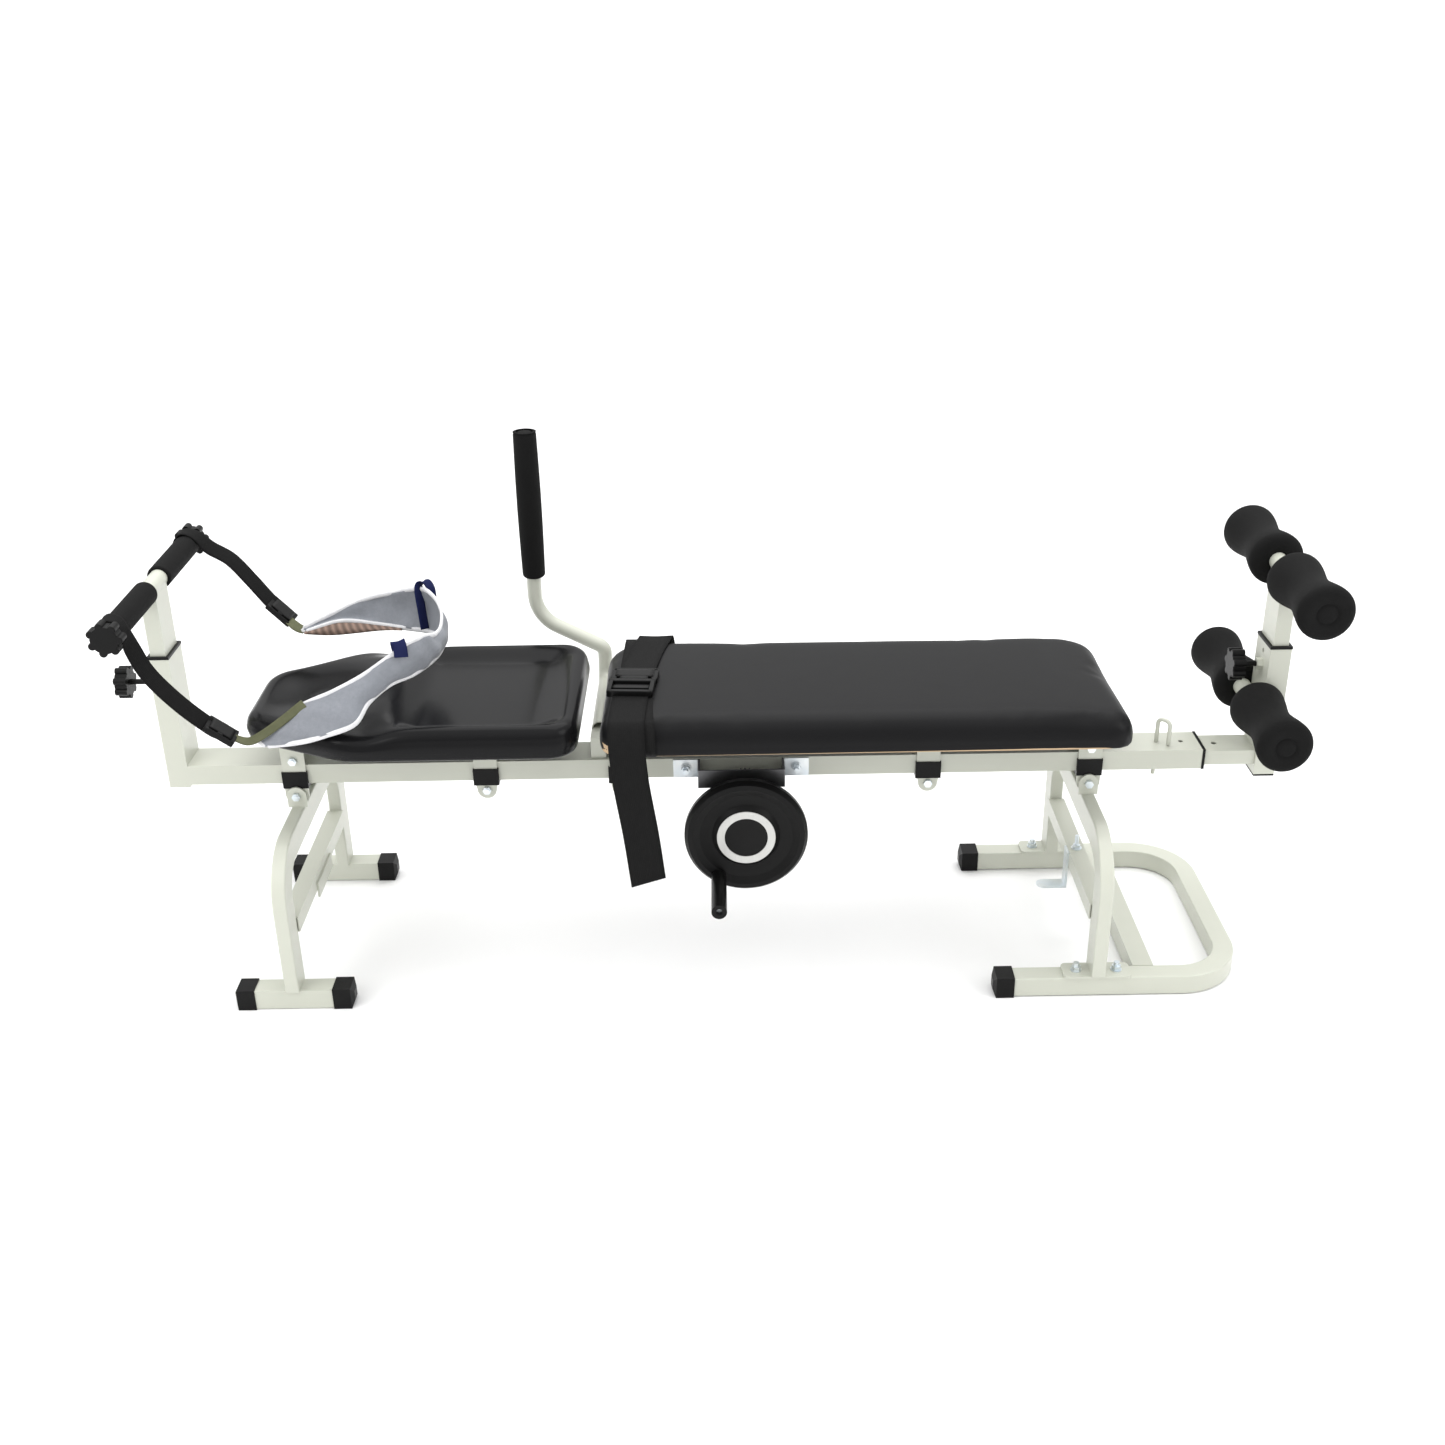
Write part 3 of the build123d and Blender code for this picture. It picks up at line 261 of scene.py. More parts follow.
# %% Hard finishes
def powder_coat():
    """Satin paint: broad faint clouds, and an orange peel 0.12 mm deep."""
    f = Finish("ivory_powder_coat", (0.525, 0.538, 0.464), 0.36, Coat_Weight=0.25,
               Coat_Roughness=0.25)
    f.tint(f.noise(14, 4), 0.95, 1.03)
    f.set("Roughness", f.noise(60, 2) * 0.12 + 0.30)
    f.bump(f.noise(420, 2), 0.00012, 0.5)
    return f.material


ZINC_TONE = (0.62, 0.68, 0.74)
ZINC_BLUE, ZINC_STRAW = (0.64, 0.74, 0.84, 1), (0.80, 0.80, 0.76, 1)
# Dark steel colour, painted as shade into the middle of the gear bracket.
PAINTED_SHADE_DARK = (0.130, 0.130, 0.134, 1)


def zinc():
    """Bright plating: blue and straw clouds, with fine rolling lines along Z."""
    f = Finish("zinc_plating", ZINC_TONE, 0.25, 1.0)
    f.set("Base Color", f.mix(ZINC_BLUE, ZINC_STRAW, f.noise(45, 3)))
    f.set("Roughness", f.noise(160, 4) * 0.14 + 0.30)
    f.bump(f.noise(900, 2, stretch=(1, 1, 6)), 0.00003)
    return f.material


def bracket_plating_and_painted_shade(middle, reach):
    """Zinc on the bolted ends; within reach of the middle, along X, a dark steel colour painted as
    shade, for the pad's shadow and the dark gear housing seen there.
    """
    f = Finish("bracket_plating_and_painted_shade", ZINC_TONE, 0.30, 1.0)
    x = f.node("ShaderNodeSeparateXYZ", {}, {0: f.place})
    away = f.node("ShaderNodeMath", {"operation": "ABSOLUTE"}, {0: x - middle})
    # The mask is 0 in the middle, which gets the painted shade, and 1 at the zinc ends.
    unshaded_zinc = f.node("ShaderNodeMapRange", {"interpolation_type": "SMOOTHSTEP"},
                    {"Value": away, "From Min": reach, "From Max": reach + 0.004})
    clouds = f.mix(ZINC_BLUE, ZINC_STRAW, f.noise(45, 3))
    f.set("Base Color", f.mix(PAINTED_SHADE_DARK, clouds, unshaded_zinc))
    f.set("Roughness", f.noise(160, 4) * 0.14 + 0.34)
    f.bump(f.noise(900, 2, stretch=(1, 1, 6)), 0.00003)
    return f.material


def dark_steel():
    """Oiled shafts and gears: dark, half metallic, smeared."""
    f = Finish("oiled_steel", (0.055, 0.055, 0.057), 0.42, 0.6, Specular_IOR_Level=0.3)
    f.tint(f.noise(40, 3), 0.85, 1.15)
    f.set("Roughness", f.noise(120, 3) * 0.08 + 0.36)
    return f.material


def black_plastic():
    """Moulded caps, knobs and the wheel: near black with a fine spark grain."""
    f = Finish("moulded_plastic", (0.004, 0.004, 0.004), 0.34, Specular_IOR_Level=0.15)
    f.tint(f.noise(30, 2), 0.8, 1.25)
    f.set("Roughness", f.noise(300, 3) * 0.16 + 0.30)
    f.bump(f.noise(2200, 2), 0.00004)
    return f.material


def silver_trim():
    """The ring on the wheel: satin silver, brushed along Z."""
    f = Finish("satin_silver", (0.56, 0.56, 0.54), 0.38, 0.35)
    f.tint(f.noise(500, 2, stretch=(1, 1, 0.1)), 0.93, 1.05)
    f.set("Roughness", f.noise(400, 2) * 0.15 + 0.30)
    return f.material


def plywood():
    """Birch boards under the pads: grain drawn out along X."""
    f = Finish("birch_plywood", (0.50, 0.36, 0.22), 0.7)
    f.tint(f.noise(26, 6, stretch=(0.6, 9, 9)), 0.7, 1.2)
    f.bump(f.noise(60, 4, stretch=(0.5, 10, 10)), 0.0002)
    return f.material


# %% [markdown]
# The pads are wrapped in black upholstery vinyl.  The head pad is moulded, smooth and shiny,
# and the leg pad is a satin sheet with a deeper pebble grain.  Foam is matt, with open pores.
# Cloth patterns could sit on Object coordinates, but a weave has to turn with its tape, so
# webbing, knit and lining read the piece's own cloth coordinates in metres.

# %% Soft finishes
def vinyl(name, roughness, grain):
    """Black vinyl: pebbles of about 1.6 mm, grain deep in metres, with slow clouds."""
    f = Finish(name, (0.0055, 0.0055, 0.006), roughness, Specular_IOR_Level=0.13)
    f.tint(f.noise(9, 3), 0.85, 1.2)
    f.set("Roughness", f.noise(35, 3) * 0.04 + (roughness - 0.02))
    f.bump(f.cells(620) * 0.7 + f.noise(1500, 2) * 0.3, grain)
    return f.material


def foam():
    """Closed cell foam: matt black, pores 0.4 mm deep."""
    f = Finish("closed_cell_foam", (0.004, 0.004, 0.004), 0.85, Specular_IOR_Level=0.18)
    f.tint(f.noise(60, 4), 0.75, 1.35)
    f.set("Roughness", f.noise(500, 3) * 0.15 + 0.78)
    f.bump(f.cells(900) * 0.6 + f.noise(2400, 3) * 0.4, 0.0004)
    return f.material


def webbing(name, colour, rib=0.0016, lift=0.00035, roughness=0.75):
    """Woven tape: ribs across the tape, crossed by a finer row of yarns along it."""
    f = Finish(name, colour, roughness, Specular_IOR_Level=0.12)
    u, v = f.across()
    weave = f.wave(v, rib) * (f.wave(u, rib * 1.6) * 0.5 + 0.5)
    f.tint(weave * 0.6 + f.noise(90, 3) * 0.4, 0.6, 1.5)
    f.bump(weave, lift)
    return f.material


def heather_cloth():
    """Grey-blue knit: pale and dark yarns mixed in short streaks."""
    f = Finish("heather_knit", (0.30, 0.34, 0.41), 0.85, Sheen_Weight=0.2,
               Sheen_Roughness=0.4)
    u, v = f.across()
    yarn = f.noise(1500, 3, stretch=(1, 1, 2.5))
    f.set("Base Color", f.mix((0.095, 0.105, 0.125, 1), (0.34, 0.355, 0.385, 1),
                              yarn * 0.75 + f.noise(160, 2) * 0.25))
    f.bump(f.wave(v, 0.0014) * f.wave(u, 0.0014) + yarn * 0.5, 0.0003)
    return f.material


def lining_cloth():
    """Brown lining, gathered in slanting pleats 11 mm apart; its colour is painted darker in the
    pleats' hollows and lighter on their crests, as painted shade and highlight, with random tone
    mixed in.
    """
    f = Finish("brown_lining", (0.17, 0.115, 0.09), 0.8)
    u, v = f.across()
    pleat_relief_and_painted_shade = f.wave(v + u * 0.6, 0.011)
    # Painted shade in the pleat hollows and painted highlight on their crests, plus random tone.
    f.tint(pleat_relief_and_painted_shade * 0.7 + f.noise(200, 3) * 0.3, 0.5, 1.6)
    f.bump(pleat_relief_and_painted_shade, 0.0012)
    return f.material


COAT = powder_coat()
ZINC = zinc()
PLASTIC = black_plastic()
FOAM = foam()
SHINY_VINYL = vinyl("moulded_vinyl", 0.22, 0.00002)
SATIN_VINYL = vinyl("satin_vinyl", 0.40, 0.00008)
BLACK_WEB = webbing("black_webbing", (0.007, 0.007, 0.007))
NAVY_WEB = webbing("navy_webbing", (0.010, 0.014, 0.060), 0.0012, 0.0002)
OLIVE_WEB = webbing("olive_webbing", (0.105, 0.110, 0.062), 0.0012, 0.0002)
WHITE_BINDING = webbing("white_binding", (0.72, 0.72, 0.76), 0.0010, 0.00015, 0.8)
HEATHER = heather_cloth()
LINING = lining_cloth()
BY_SLOT = {"ivory_paint": COAT, "zinc_plate": ZINC, "dark_steel": dark_steel(),
           "black_plastic": PLASTIC, "black_foam": FOAM, "black_vinyl": SATIN_VINYL,
           "plywood": plywood(), "black_webbing": BLACK_WEB, "grey_halter_cloth": HEATHER,
           "silver_ring": silver_trim()}
print("finishes", len(bpy.data.materials))

# %% [markdown]
# The hard parts are exact CAD solids, so they keep their shape and only take a finish: each gets
# the one of the material slot that the record gives it.  The gear bracket is the exception.  Its
# bolted ends are bright zinc and its middle is painted dark as shade, where the pad's shadow and
# the dark gear housing are seen, so its finish goes by place.

# %% Finish the CAD nodes
for part in frame["record"]["subparts"]:
    node = frame["nodes"][part["node"]]
    node.data.materials.clear()
    node.data.materials.append(BY_SLOT[part["material_slot"]])
# Reach from the bracket's middle, as a share of its length, that is painted dark as shade.
PAINTED_SHADE_SHARE = 0.31
bracket_low, bracket_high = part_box("gear_bracket")
frame["nodes"]["gear_bracket"].data.materials[0] = bracket_plating_and_painted_shade(
    (bracket_low[0] + bracket_high[0]) / 2, (bracket_high[0] - bracket_low[0]) * PAINTED_SHADE_SHARE)

# %% [markdown]
# A pad is a loaf: its outline is a rounded polygon, and rings of that outline, moved inwards
# step by step, climb from the base over the rounded side to the top.  The inner rings shrink
# to a spine, and the height of the top is a function of the place on it.  A bevelled block
# could do for a flat pad, but rings also carry a dish, a ridge or a crown.

# %% Pad outline
def rounded_outline(corners, radii, count):
    """Walks a polygon in the XY plane, each corner cut by an arc of its radius: the arc's
    centre lies on the corner's bisector, radius / sin(half angle) from the corner.  The
    points start half way along the last edge, so a symmetric outline has mirrored points."""
    corners, points = np.asarray(corners, float), []
    before, after = np.roll(corners, 1, 0), np.roll(corners, -1, 0)
    for corner, b, a, radius in zip(corners, before, after, radii):
        to_b, to_a = unit(b - corner), unit(a - corner)
        half = math.acos(np.clip(to_b @ to_a, -1, 1)) / 2
        centre = corner + unit(to_a + to_b) * radius / math.sin(half)
        first = corner + to_b * radius / math.tan(half) - centre
        last = corner + to_a * radius / math.tan(half) - centre
        share = np.linspace(0, 1, 24)[:, None]
        arc = unit(first * (1 - share) + last * share) * radius
        points.append(centre + arc)
    loop = np.vstack(points + [points[0][:1]])
    walked = lengths_along(loop)
    start = (walked[-1] + walked[-2]) / 2
    at = (start + np.linspace(0, walked[-1], count, endpoint=False)) % walked[-1]
    return np.stack([np.interp(at, walked, loop[:, k]) for k in (0, 1)], -1)


def pad_rings(outline, profile, spine, top, steps=26):
    """Rings from the middle of the base to the middle of the top.  Each profile row is
    (inset, height); a ring is the outline moved that far along its inward normal.  Between
    the last ring and the spine the points go straight in, and top(x, y) adds their height."""
    around = np.roll(outline, -1, 0) - np.roll(outline, 1, 0)
    inward = unit(np.stack([-around[:, 1], around[:, 0]], -1))
    insets, heights = np.asarray(profile, float).T
    rings = outline[None] + inward[None] * insets[:, None, None]
    middle = np.stack([np.clip(outline[:, 0], *spine), np.zeros(len(outline))], -1)
    share = np.linspace(0, 1, steps)[1:, None, None]
    fill = rings[-1][None] * (1 - share) + middle[None] * share
    base = rings[0][None] * (1 - share[::-1]) + middle[None] * share[::-1]
    flat = np.concatenate([base, rings, fill])
    level = np.concatenate([np.full(len(base), heights[0]), heights,
                            np.full(len(fill), heights[-1])])
    z = np.broadcast_to(level[:, None], flat.shape[:2]).copy()
    climbed = (heights - heights[0]) / (heights[-1] - heights[0])
    lift = np.concatenate([np.zeros(len(base)), smoothstep(climbed * 1.2 - 0.2),
                           np.ones(len(fill))])
    z += top(flat[..., 0], flat[..., 1]) * lift[:, None]
    return np.concatenate([flat, z[..., None]], -1)


def side_profile(low, high, lower_radius, upper_radius, bulge):
    """(inset, height) rows up a pad's side: a quarter circle at the foot, a wall that swells
    by bulge, and a quarter circle at the top edge."""
    a = np.linspace(0, math.pi / 2, 9)
    foot = np.stack([lower_radius * (1 - np.sin(a)), low + lower_radius * (1 - np.cos(a))], -1)
    wall_low, wall_high = low + lower_radius, high - upper_radius
    wall_z = np.linspace(wall_low, wall_high, 7)[1:-1]
    up_wall = (wall_z - low - lower_radius) / (high - upper_radius - low - lower_radius)
    wall = np.stack([-bulge * np.sin(np.pi * up_wall), wall_z], -1)
    head = np.stack([upper_radius * (1 - np.cos(a)), high - upper_radius * (1 - np.sin(a))], -1)
    return np.vstack([foot, wall, head])


# %% [markdown]
# Upholstery is foam pushed against a tight cover, so the pad is blown up like one: the loaf
# is remeshed into even cells, a cloth simulation with pressure and no gravity swells it, and
# the movement is capped and faded out at the base, which is screwed to a board.  Pushing the
# points out by a formula is quicker, and it is the better way for a moulded pad, whose dish
# and rim a simulation would crease.  So a pad without a cell size is only smoothed.

# %% Blow up a pad
def even_cells(piece, voxel):
    """Voxel remesh: the surface is rebuilt from cells of one size."""
    remesh = piece.modifiers.new("even_cells", "REMESH")
    remesh.mode, remesh.voxel_size, remesh.use_smooth_shade = "VOXEL", voxel, True
    graph = bpy.context.evaluated_depsgraph_get()
    mesh = bpy.data.meshes.new_from_object(piece.evaluated_get(graph))
    piece.modifiers.clear()
    piece.data = mesh


def mesh_points(mesh):
    """All the mesh's points as one array."""
    points = np.empty(len(mesh.vertices) * 3)
    mesh.vertices.foreach_get("co", points)
    return points.reshape(-1, 3)


BASE_FADE = 0.012


def blow_up(piece, cap, pressure=4.0, base=0.0, frames=20):
    """Cloth with inner pressure for some frames; each point then keeps at most cap of its
    movement, and none at the base height, growing to all of it BASE_FADE above."""
    start = mesh_points(piece.data)
    cloth = piece.modifiers.new("cover", "CLOTH")
    cloth.settings.use_pressure = True
    cloth.settings.uniform_pressure_force = pressure
    cloth.settings.effector_weights.gravity = 0
    cloth.settings.quality = 4
    cloth.settings.tension_stiffness = cloth.settings.compression_stiffness = 20
    cloth.point_cache.frame_start, cloth.point_cache.frame_end = 1, frames
    for number in range(1, frames + 1):
        bpy.context.scene.frame_set(number)
    graph = bpy.context.evaluated_depsgraph_get()
    swollen = mesh_points(piece.evaluated_get(graph).data)
    piece.modifiers.clear()
    bpy.context.scene.frame_set(1)
    move = swollen - start
    far = np.linalg.norm(move, axis=1, keepdims=True)
    move *= np.minimum(1, cap / np.maximum(far, 1e-9))
    move *= smoothstep((start[:, 2:] - base) / BASE_FADE)
    piece.data.vertices.foreach_set("co", (start + move).ravel())
    piece.data.update()
    print(piece.name, "swelled by up to", round(float(np.abs(move).max()) * 1000, 1), "mm")


def finish_pad(piece, finish, body, nodes, voxel=0.0, cap=0.0):
    if voxel:
        even_cells(piece, voxel)
    if cap:
        blow_up(piece, cap, base=PAD_LOW)
    piece.data.materials.clear()
    piece.data.materials.append(finish)
    piece.data.polygons.foreach_set("use_smooth", np.full(len(piece.data.polygons), True))
    smoother = piece.modifiers.new("even_out", "SMOOTH")
    smoother.factor, smoother.iterations = 0.5, 4
    rounder = piece.modifiers.new("finer", "SUBSURF")
    rounder.levels = rounder.render_levels = 1
    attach(piece, body)
    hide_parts(*nodes)
    print(piece.name, "faces", len(piece.data.polygons))


# %% [markdown]
# Both covers wrap a plywood board, so they reach a little under it.  Their other limits are
# the boxes of the CAD pads, read from the frame rather than typed in.

# %% Pad limits
UNDER_BOARD = 0.0020
leg_low, leg_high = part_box("leg_pad")
head_low, head_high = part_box("head_pad")
PAD_LOW = float(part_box("leg_pad_board")[0][2]) - UNDER_BOARD
PAD_HIGH, PAD_HALF = float(leg_high[2]), float(leg_high[1])
LEG_START, LEG_END = float(leg_low[0]), float(leg_high[0])
HEAD_START, HEAD_END = float(head_low[0]), float(head_high[0])
print("pads from", round(PAD_LOW, 4), "to", round(PAD_HIGH, 4), "m, half width", PAD_HALF)

# %% [markdown]
# The leg pad is a long flat cushion with soft edges, wrapped round its board.  Its crown is
# slight, and the far side runs in a little towards the foot end.  It is the one pad that is
# blown up, because an upholstered cushion bulges between its edges as a simulation does.

# %% Leg pad
LEG_SHRINK, LEG_CELL, LEG_SWELL = 0.004, 0.006, 0.006
LOWER_RADIUS, WALL_BULGE = 0.008, 0.002
outline = rounded_outline(
    [(LEG_START + LEG_SHRINK, -PAD_HALF + LEG_SHRINK), (LEG_END + 0.001, -PAD_HALF + 0.006),
     (LEG_END - LEG_SHRINK, PAD_HALF - 0.008), (0.050, PAD_HALF - LEG_SHRINK),
     (LEG_START + LEG_SHRINK, PAD_HALF - LEG_SHRINK)],
    (0.045, 0.030, 0.048, 0.4, 0.045), 360)


def leg_crown(x, y):
    """A few millimetres of crown: highest on the middle line, falling to the sides and to
    the two ends as smooth steps."""
    middle = 1 - (y / PAD_HALF) ** 2
    ends = smoothstep((x - LEG_START) / 0.09) * smoothstep((LEG_END - x) / 0.11)
    return 0.0035 * middle * ends - 0.004 * (1 - ends)


leg_side = side_profile(PAD_LOW, PAD_HIGH - 0.004, LOWER_RADIUS, 0.024, WALL_BULGE)
rings = pad_rings(outline, leg_side, (LEG_START + 0.12, LEG_END - 0.12), leg_crown)
leg_cover = make_piece("leg_pad_cover", rings, grid_faces(*rings.shape[:2], close_columns=True),
                       SATIN_VINYL, weld=1e-5)
finish_pad(leg_cover, SATIN_VINYL, "carriage", ["leg_pad"], voxel=LEG_CELL, cap=LEG_SWELL)

# %% [markdown]
# The head pad is moulded foam: a wide dish for the shoulders with a raised rim, a rounded
# ridge under the neck, and a hollow for the back of the head in the narrow end.  It could be
# sculpted, but each of those forms is one smooth step or bell, and their sum is the top.

# %% Head pad
NECK_X, NOSE_HALF, SHOULDER_X, BOWL_X = -0.452, 0.082, -0.503, -0.560
DISH_DEPTH, BOWL_DEPTH, RIDGE_HEIGHT, NOSE_FALL, WAIST_FALL = 0.018, 0.014, 0.004, 0.010, 0.012
HEAD_EDGE = 0.005
outline = rounded_outline(
    [(HEAD_START + 0.001, -NOSE_HALF), (SHOULDER_X, -PAD_HALF + HEAD_EDGE),
     (HEAD_END - 0.004, -PAD_HALF + HEAD_EDGE), (HEAD_END - 0.004, PAD_HALF - HEAD_EDGE),
     (SHOULDER_X, PAD_HALF - HEAD_EDGE), (HEAD_START + 0.001, NOSE_HALF)],
    (0.050, 0.100, 0.040, 0.040, 0.100, 0.050), 256)


def moulded_top(x, y):
    """Height over the rim: minus a flat dish behind the neck, minus a bowl for the head,
    plus a low ridge between them, minus a fall of the whole top towards the narrow end and
    of its two sides beside the neck."""
    side = np.abs(y)
    dish = (smoothstep((x - NECK_X - 0.004) / 0.045) * smoothstep((HEAD_END - 0.008 - x) / 0.060)
            * smoothstep((0.143 - side) / 0.040))
    bowl = smoothstep(1.25 - np.hypot((x - BOWL_X) / 0.078, y / 0.082))
    ridge = np.exp(-((x - NECK_X + 0.006) / 0.022) ** 2) * smoothstep((0.120 - side) / 0.06)
    narrow = smoothstep((NECK_X - 0.010 - x) / 0.16)
    waist = np.exp(-((x - NECK_X + 0.020) / 0.040) ** 2) * smoothstep((side - 0.095) / 0.05)
    return (-DISH_DEPTH * dish - BOWL_DEPTH * bowl + RIDGE_HEIGHT * ridge
            - NOSE_FALL * narrow - WAIST_FALL * waist)


head_side = side_profile(PAD_LOW, PAD_HIGH - 0.001, LOWER_RADIUS, 0.020, WALL_BULGE)
rings = pad_rings(outline, head_side, (HEAD_START + 0.09, HEAD_END - 0.12), moulded_top,
                  steps=34)
head_cover = make_piece("head_pad_cover", rings, grid_faces(*rings.shape[:2], close_columns=True),
                        SHINY_VINYL, weld=1e-5)
finish_pad(head_cover, SHINY_VINYL, "frame", ["head_pad"])

# %% [markdown]
# Foam grips and rollers are turned shapes.  A profile of (distance along the bar, radius)
# is spun round the bar, from the closed end of the bore, over the foam, to the end plug.  A
# Screw modifier would also turn it, but a worked-out grid is closed at both poles at once.

# %% Foam grips and rollers
def spun(profile, centre, axis, around=72):
    """Spins (along, radius) rows round an axis: point = centre + axis * along + radius *
    (side * cos + other side * sin)."""
    along, radius = np.asarray(profile, float).T
    axis = np.asarray(axis, float)
    side = unit(np.cross(axis, (1, 0.01, 0.02)))
    other = np.cross(axis, side)
    turn = np.linspace(0, 2 * math.pi, around, endpoint=False)
    ring = side * np.cos(turn)[:, None] + other * np.sin(turn)[:, None]
    return (np.asarray(centre) + axis * along[:, None, None]
            + ring[None] * radius[:, None, None])


def foam_profile(start, end, bore, radius, edge, plug=True, bore_end=0.006):
    """Rows from the bottom of the bore, out along it, round the inner edge, along the foam,
    whose radius is a function of the share of its length, and over the outer end, where a
    groove at the bore's radius marks the plug."""
    a = np.linspace(0, math.pi / 2, 8)
    inner = [(start + edge * (1 - math.cos(t)), radius(0.0) - edge * (1 - math.sin(t))) for t in a]
    share = np.linspace(0, 1, 41)
    body = np.stack([start + edge + (end - start - 2 * edge) * share, radius(share)], -1)
    outer = [(end - edge * (1 - math.sin(t)), radius(1.0) - edge * (1 - math.cos(t))) for t in a]
    rows = [(end - bore_end, 0.0), (end - bore_end, bore), (start, bore), *inner,
            *body[1:-1], *outer]
    if plug:
        rows += [(end - 0.0005, bore + 0.006), (end - 0.0022, bore + 0.003),
                 (end - 0.0034, bore + 0.0012), (end - 0.0012, bore - 0.001),
                 (end - 0.0008, bore * 0.5)]
    return rows + [(end - 0.0008, 0.0)]


def grids_piece(name, grids, finish, weld):
    """One piece from several closed grids, their points and quads listed one after another."""
    points, faces, start = [], [], 0
    for grid in grids:
        faces.append(grid_faces(*grid.shape[:2], close_columns=True) + start)
        points.append(grid.reshape(-1, 3))
        start += len(points[-1])
    return make_piece(name, np.vstack(points), np.vstack(faces), finish, weld=weld)


def foam_piece(name, grids, body, node):
    """A foam piece in place of one CAD node."""
    piece = grids_piece(name, grids, FOAM, 1e-6)
    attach(piece, body)
    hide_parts(node)
    print(name, "faces", len(piece.data.polygons))


# %% [markdown]
# The four rollers are waisted, so that an ankle lies in the middle of each.

# %% Rollers
BAR_BORE, GRAB_BORE = 0.0127, 0.0112


def roller_radius(share):
    """An hourglass with soft shoulders: 38.5 mm at both ends, less 8 mm times a sine arch,
    sharpened to the power 1.6, in the waist."""
    return 0.0385 - 0.0080 * np.sin(np.pi * np.clip(share, 0, 1)) ** 1.6


for level in ("upper", "lower"):
    for place, side in (("near", -1), ("far", 1)):
        node_name = f"{level}_roller_{place}"
        low, high = (np.array(c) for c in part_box(node_name))
        middle = (low + high) / 2
        start, end = sorted((abs(low[1]), abs(high[1])))
        grid = spun(foam_profile(start, end, BAR_BORE, roller_radius, 0.011),
                    (middle[0], 0, middle[2]), (0, side, 0))
        foam_piece(f"foam_{node_name}", [grid], node_name, node_name)

# %% [markdown]
# The grips are straight sleeves.  Those on the head bar start beside its post, and the one on
# the grab bar is a little fuller in the middle, as foam is that was pushed over a tube.

# %% Grips
GRIP_INNER_END, AROUND_GRIP = 0.029, 56
low, high = (np.array(c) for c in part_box("head_grips"))
grip_axis = ((low[0] + high[0]) / 2, 0, (low[2] + high[2]) / 2)
grip_radius = float(high[2] - low[2]) / 2
grip_profile = foam_profile(GRIP_INNER_END, float(high[1]), BAR_BORE,
                            lambda share: grip_radius + 0 * share, 0.0035, plug=False,
                            bore_end=0.002)
grips = [spun(grip_profile, grip_axis, (0, side, 0), AROUND_GRIP) for side in (-1, 1)]
foam_piece("foam_head_grips", grips, "head_bar", "head_grips")

low, high = (np.array(c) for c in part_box("grab_bar_grip"))
grab_middle = ((low[0] + high[0]) / 2, (low[1] + high[1]) / 2, 0)
grab_radius = float(high[0] - low[0]) / 2


def grab_shape(share):
    """The grip's radius, less 1.2 mm at both ends, as a sine arch."""
    return grab_radius - 0.0012 + 0.0012 * np.sin(np.pi * np.clip(share, 0, 1))


grid = spun(foam_profile(float(low[2]), float(high[2]), GRAB_BORE, grab_shape, 0.005),
            grab_middle, (0, 0, 1), AROUND_GRIP)
foam_piece("foam_grab_grip", [grid], "frame", "grab_bar_grip")

# %% [markdown]
# Webbing is a ribbon: a path for its middle line, a direction for its width, and a little
# thickness.  A curve with a flat bevel would also make a tape, but its width can't be turned
# freely and its ends can't be cut on a slant.  The weave is drawn in cloth coordinates, so
# it follows every bend.

# %% Ribbons
def ribbon(name, path, width, across, finish, thickness=0.0016, count=90, cut=0.0, columns=7):
    """A tape along a smooth path.  across gives the width's direction, one or one per path
    point; cut slants the far end by that much from one edge to the other."""
    line = smooth_path(np.asarray(path, float) * MM, count)
    way = unit(np.gradient(line, axis=0))
    wide = np.broadcast_to(np.asarray(across, float), np.asarray(path).shape)
    wide = unit(smooth_path(wide, count))
    wide = unit(wide - way * np.sum(wide * way, -1, keepdims=True))
    reach = np.linspace(-0.5, 0.5, columns)
    points = line[:, None] + wide[:, None] * (reach * width)[None, :, None]
    fade = smoothstep(np.linspace(-1.5, 1, count))
    points += way[:, None] * (fade[:, None] * reach[None] * cut)[..., None]
    walked = lengths_along(line)
    uv = np.stack(np.broadcast_arrays(reach[None] * width, walked[:, None]), -1)
    piece = make_piece(name, points, grid_faces(count, columns), finish, uv=uv)
    thick = piece.modifiers.new("thickness", "SOLIDIFY")
    thick.thickness, thick.offset = thickness, 0.0
    print(name, "length", round(float(walked[-1]), 3), "m")
    return piece, float(walked[-1])


def pipe(name, paths, width, thickness, finish, count, around=12):
    """A closed flat tube along each path, for bindings: an oval ring of the given width and
    thickness at each point, closed by a point at both ends."""
    points, faces, start, uvs = [], [], 0, []
    turn = np.linspace(0, 2 * math.pi, around, endpoint=False)
    for path in paths:
        line = smooth_path(np.asarray(path, float) * MM, count)
        way = unit(np.gradient(line, axis=0))
        side = unit(np.cross(way, (0, 0, 1)))
        up = np.cross(side, way)
        size = np.ones(count)
        size[[0, -1]] = 0
        ring = (up[:, None] * (np.cos(turn) * width / 2)[None, :, None]
                + side[:, None] * (np.sin(turn) * thickness / 2)[None, :, None])
        grid = line[:, None] + ring * size[:, None, None]
        uv = np.stack(np.broadcast_arrays(turn[None] * width / 3,
                                          lengths_along(line)[:, None]), -1)
        points.append(grid.reshape(-1, 3))
        uvs.append(uv.reshape(-1, 2))
        faces.append(grid_faces(count, around, close_columns=True) + start)
        start += count * around
    return make_piece(name, np.vstack(points), np.vstack(faces), finish,
                      uv=np.vstack(uvs), weld=1e-6)


# %% [markdown]
# The waist belt goes round the leg pad near its head end.  Two layers come over the far
# edge and meet at the buckle; two leave it, and the outer one hangs down as the free tail.
# Each layer is its own ribbon a few millimetres over the last, because cloth simulation would
# have to be told where to stop anyway.  Paths are in millimetres: TOP is the top of the pad
# and EDGE its half width.

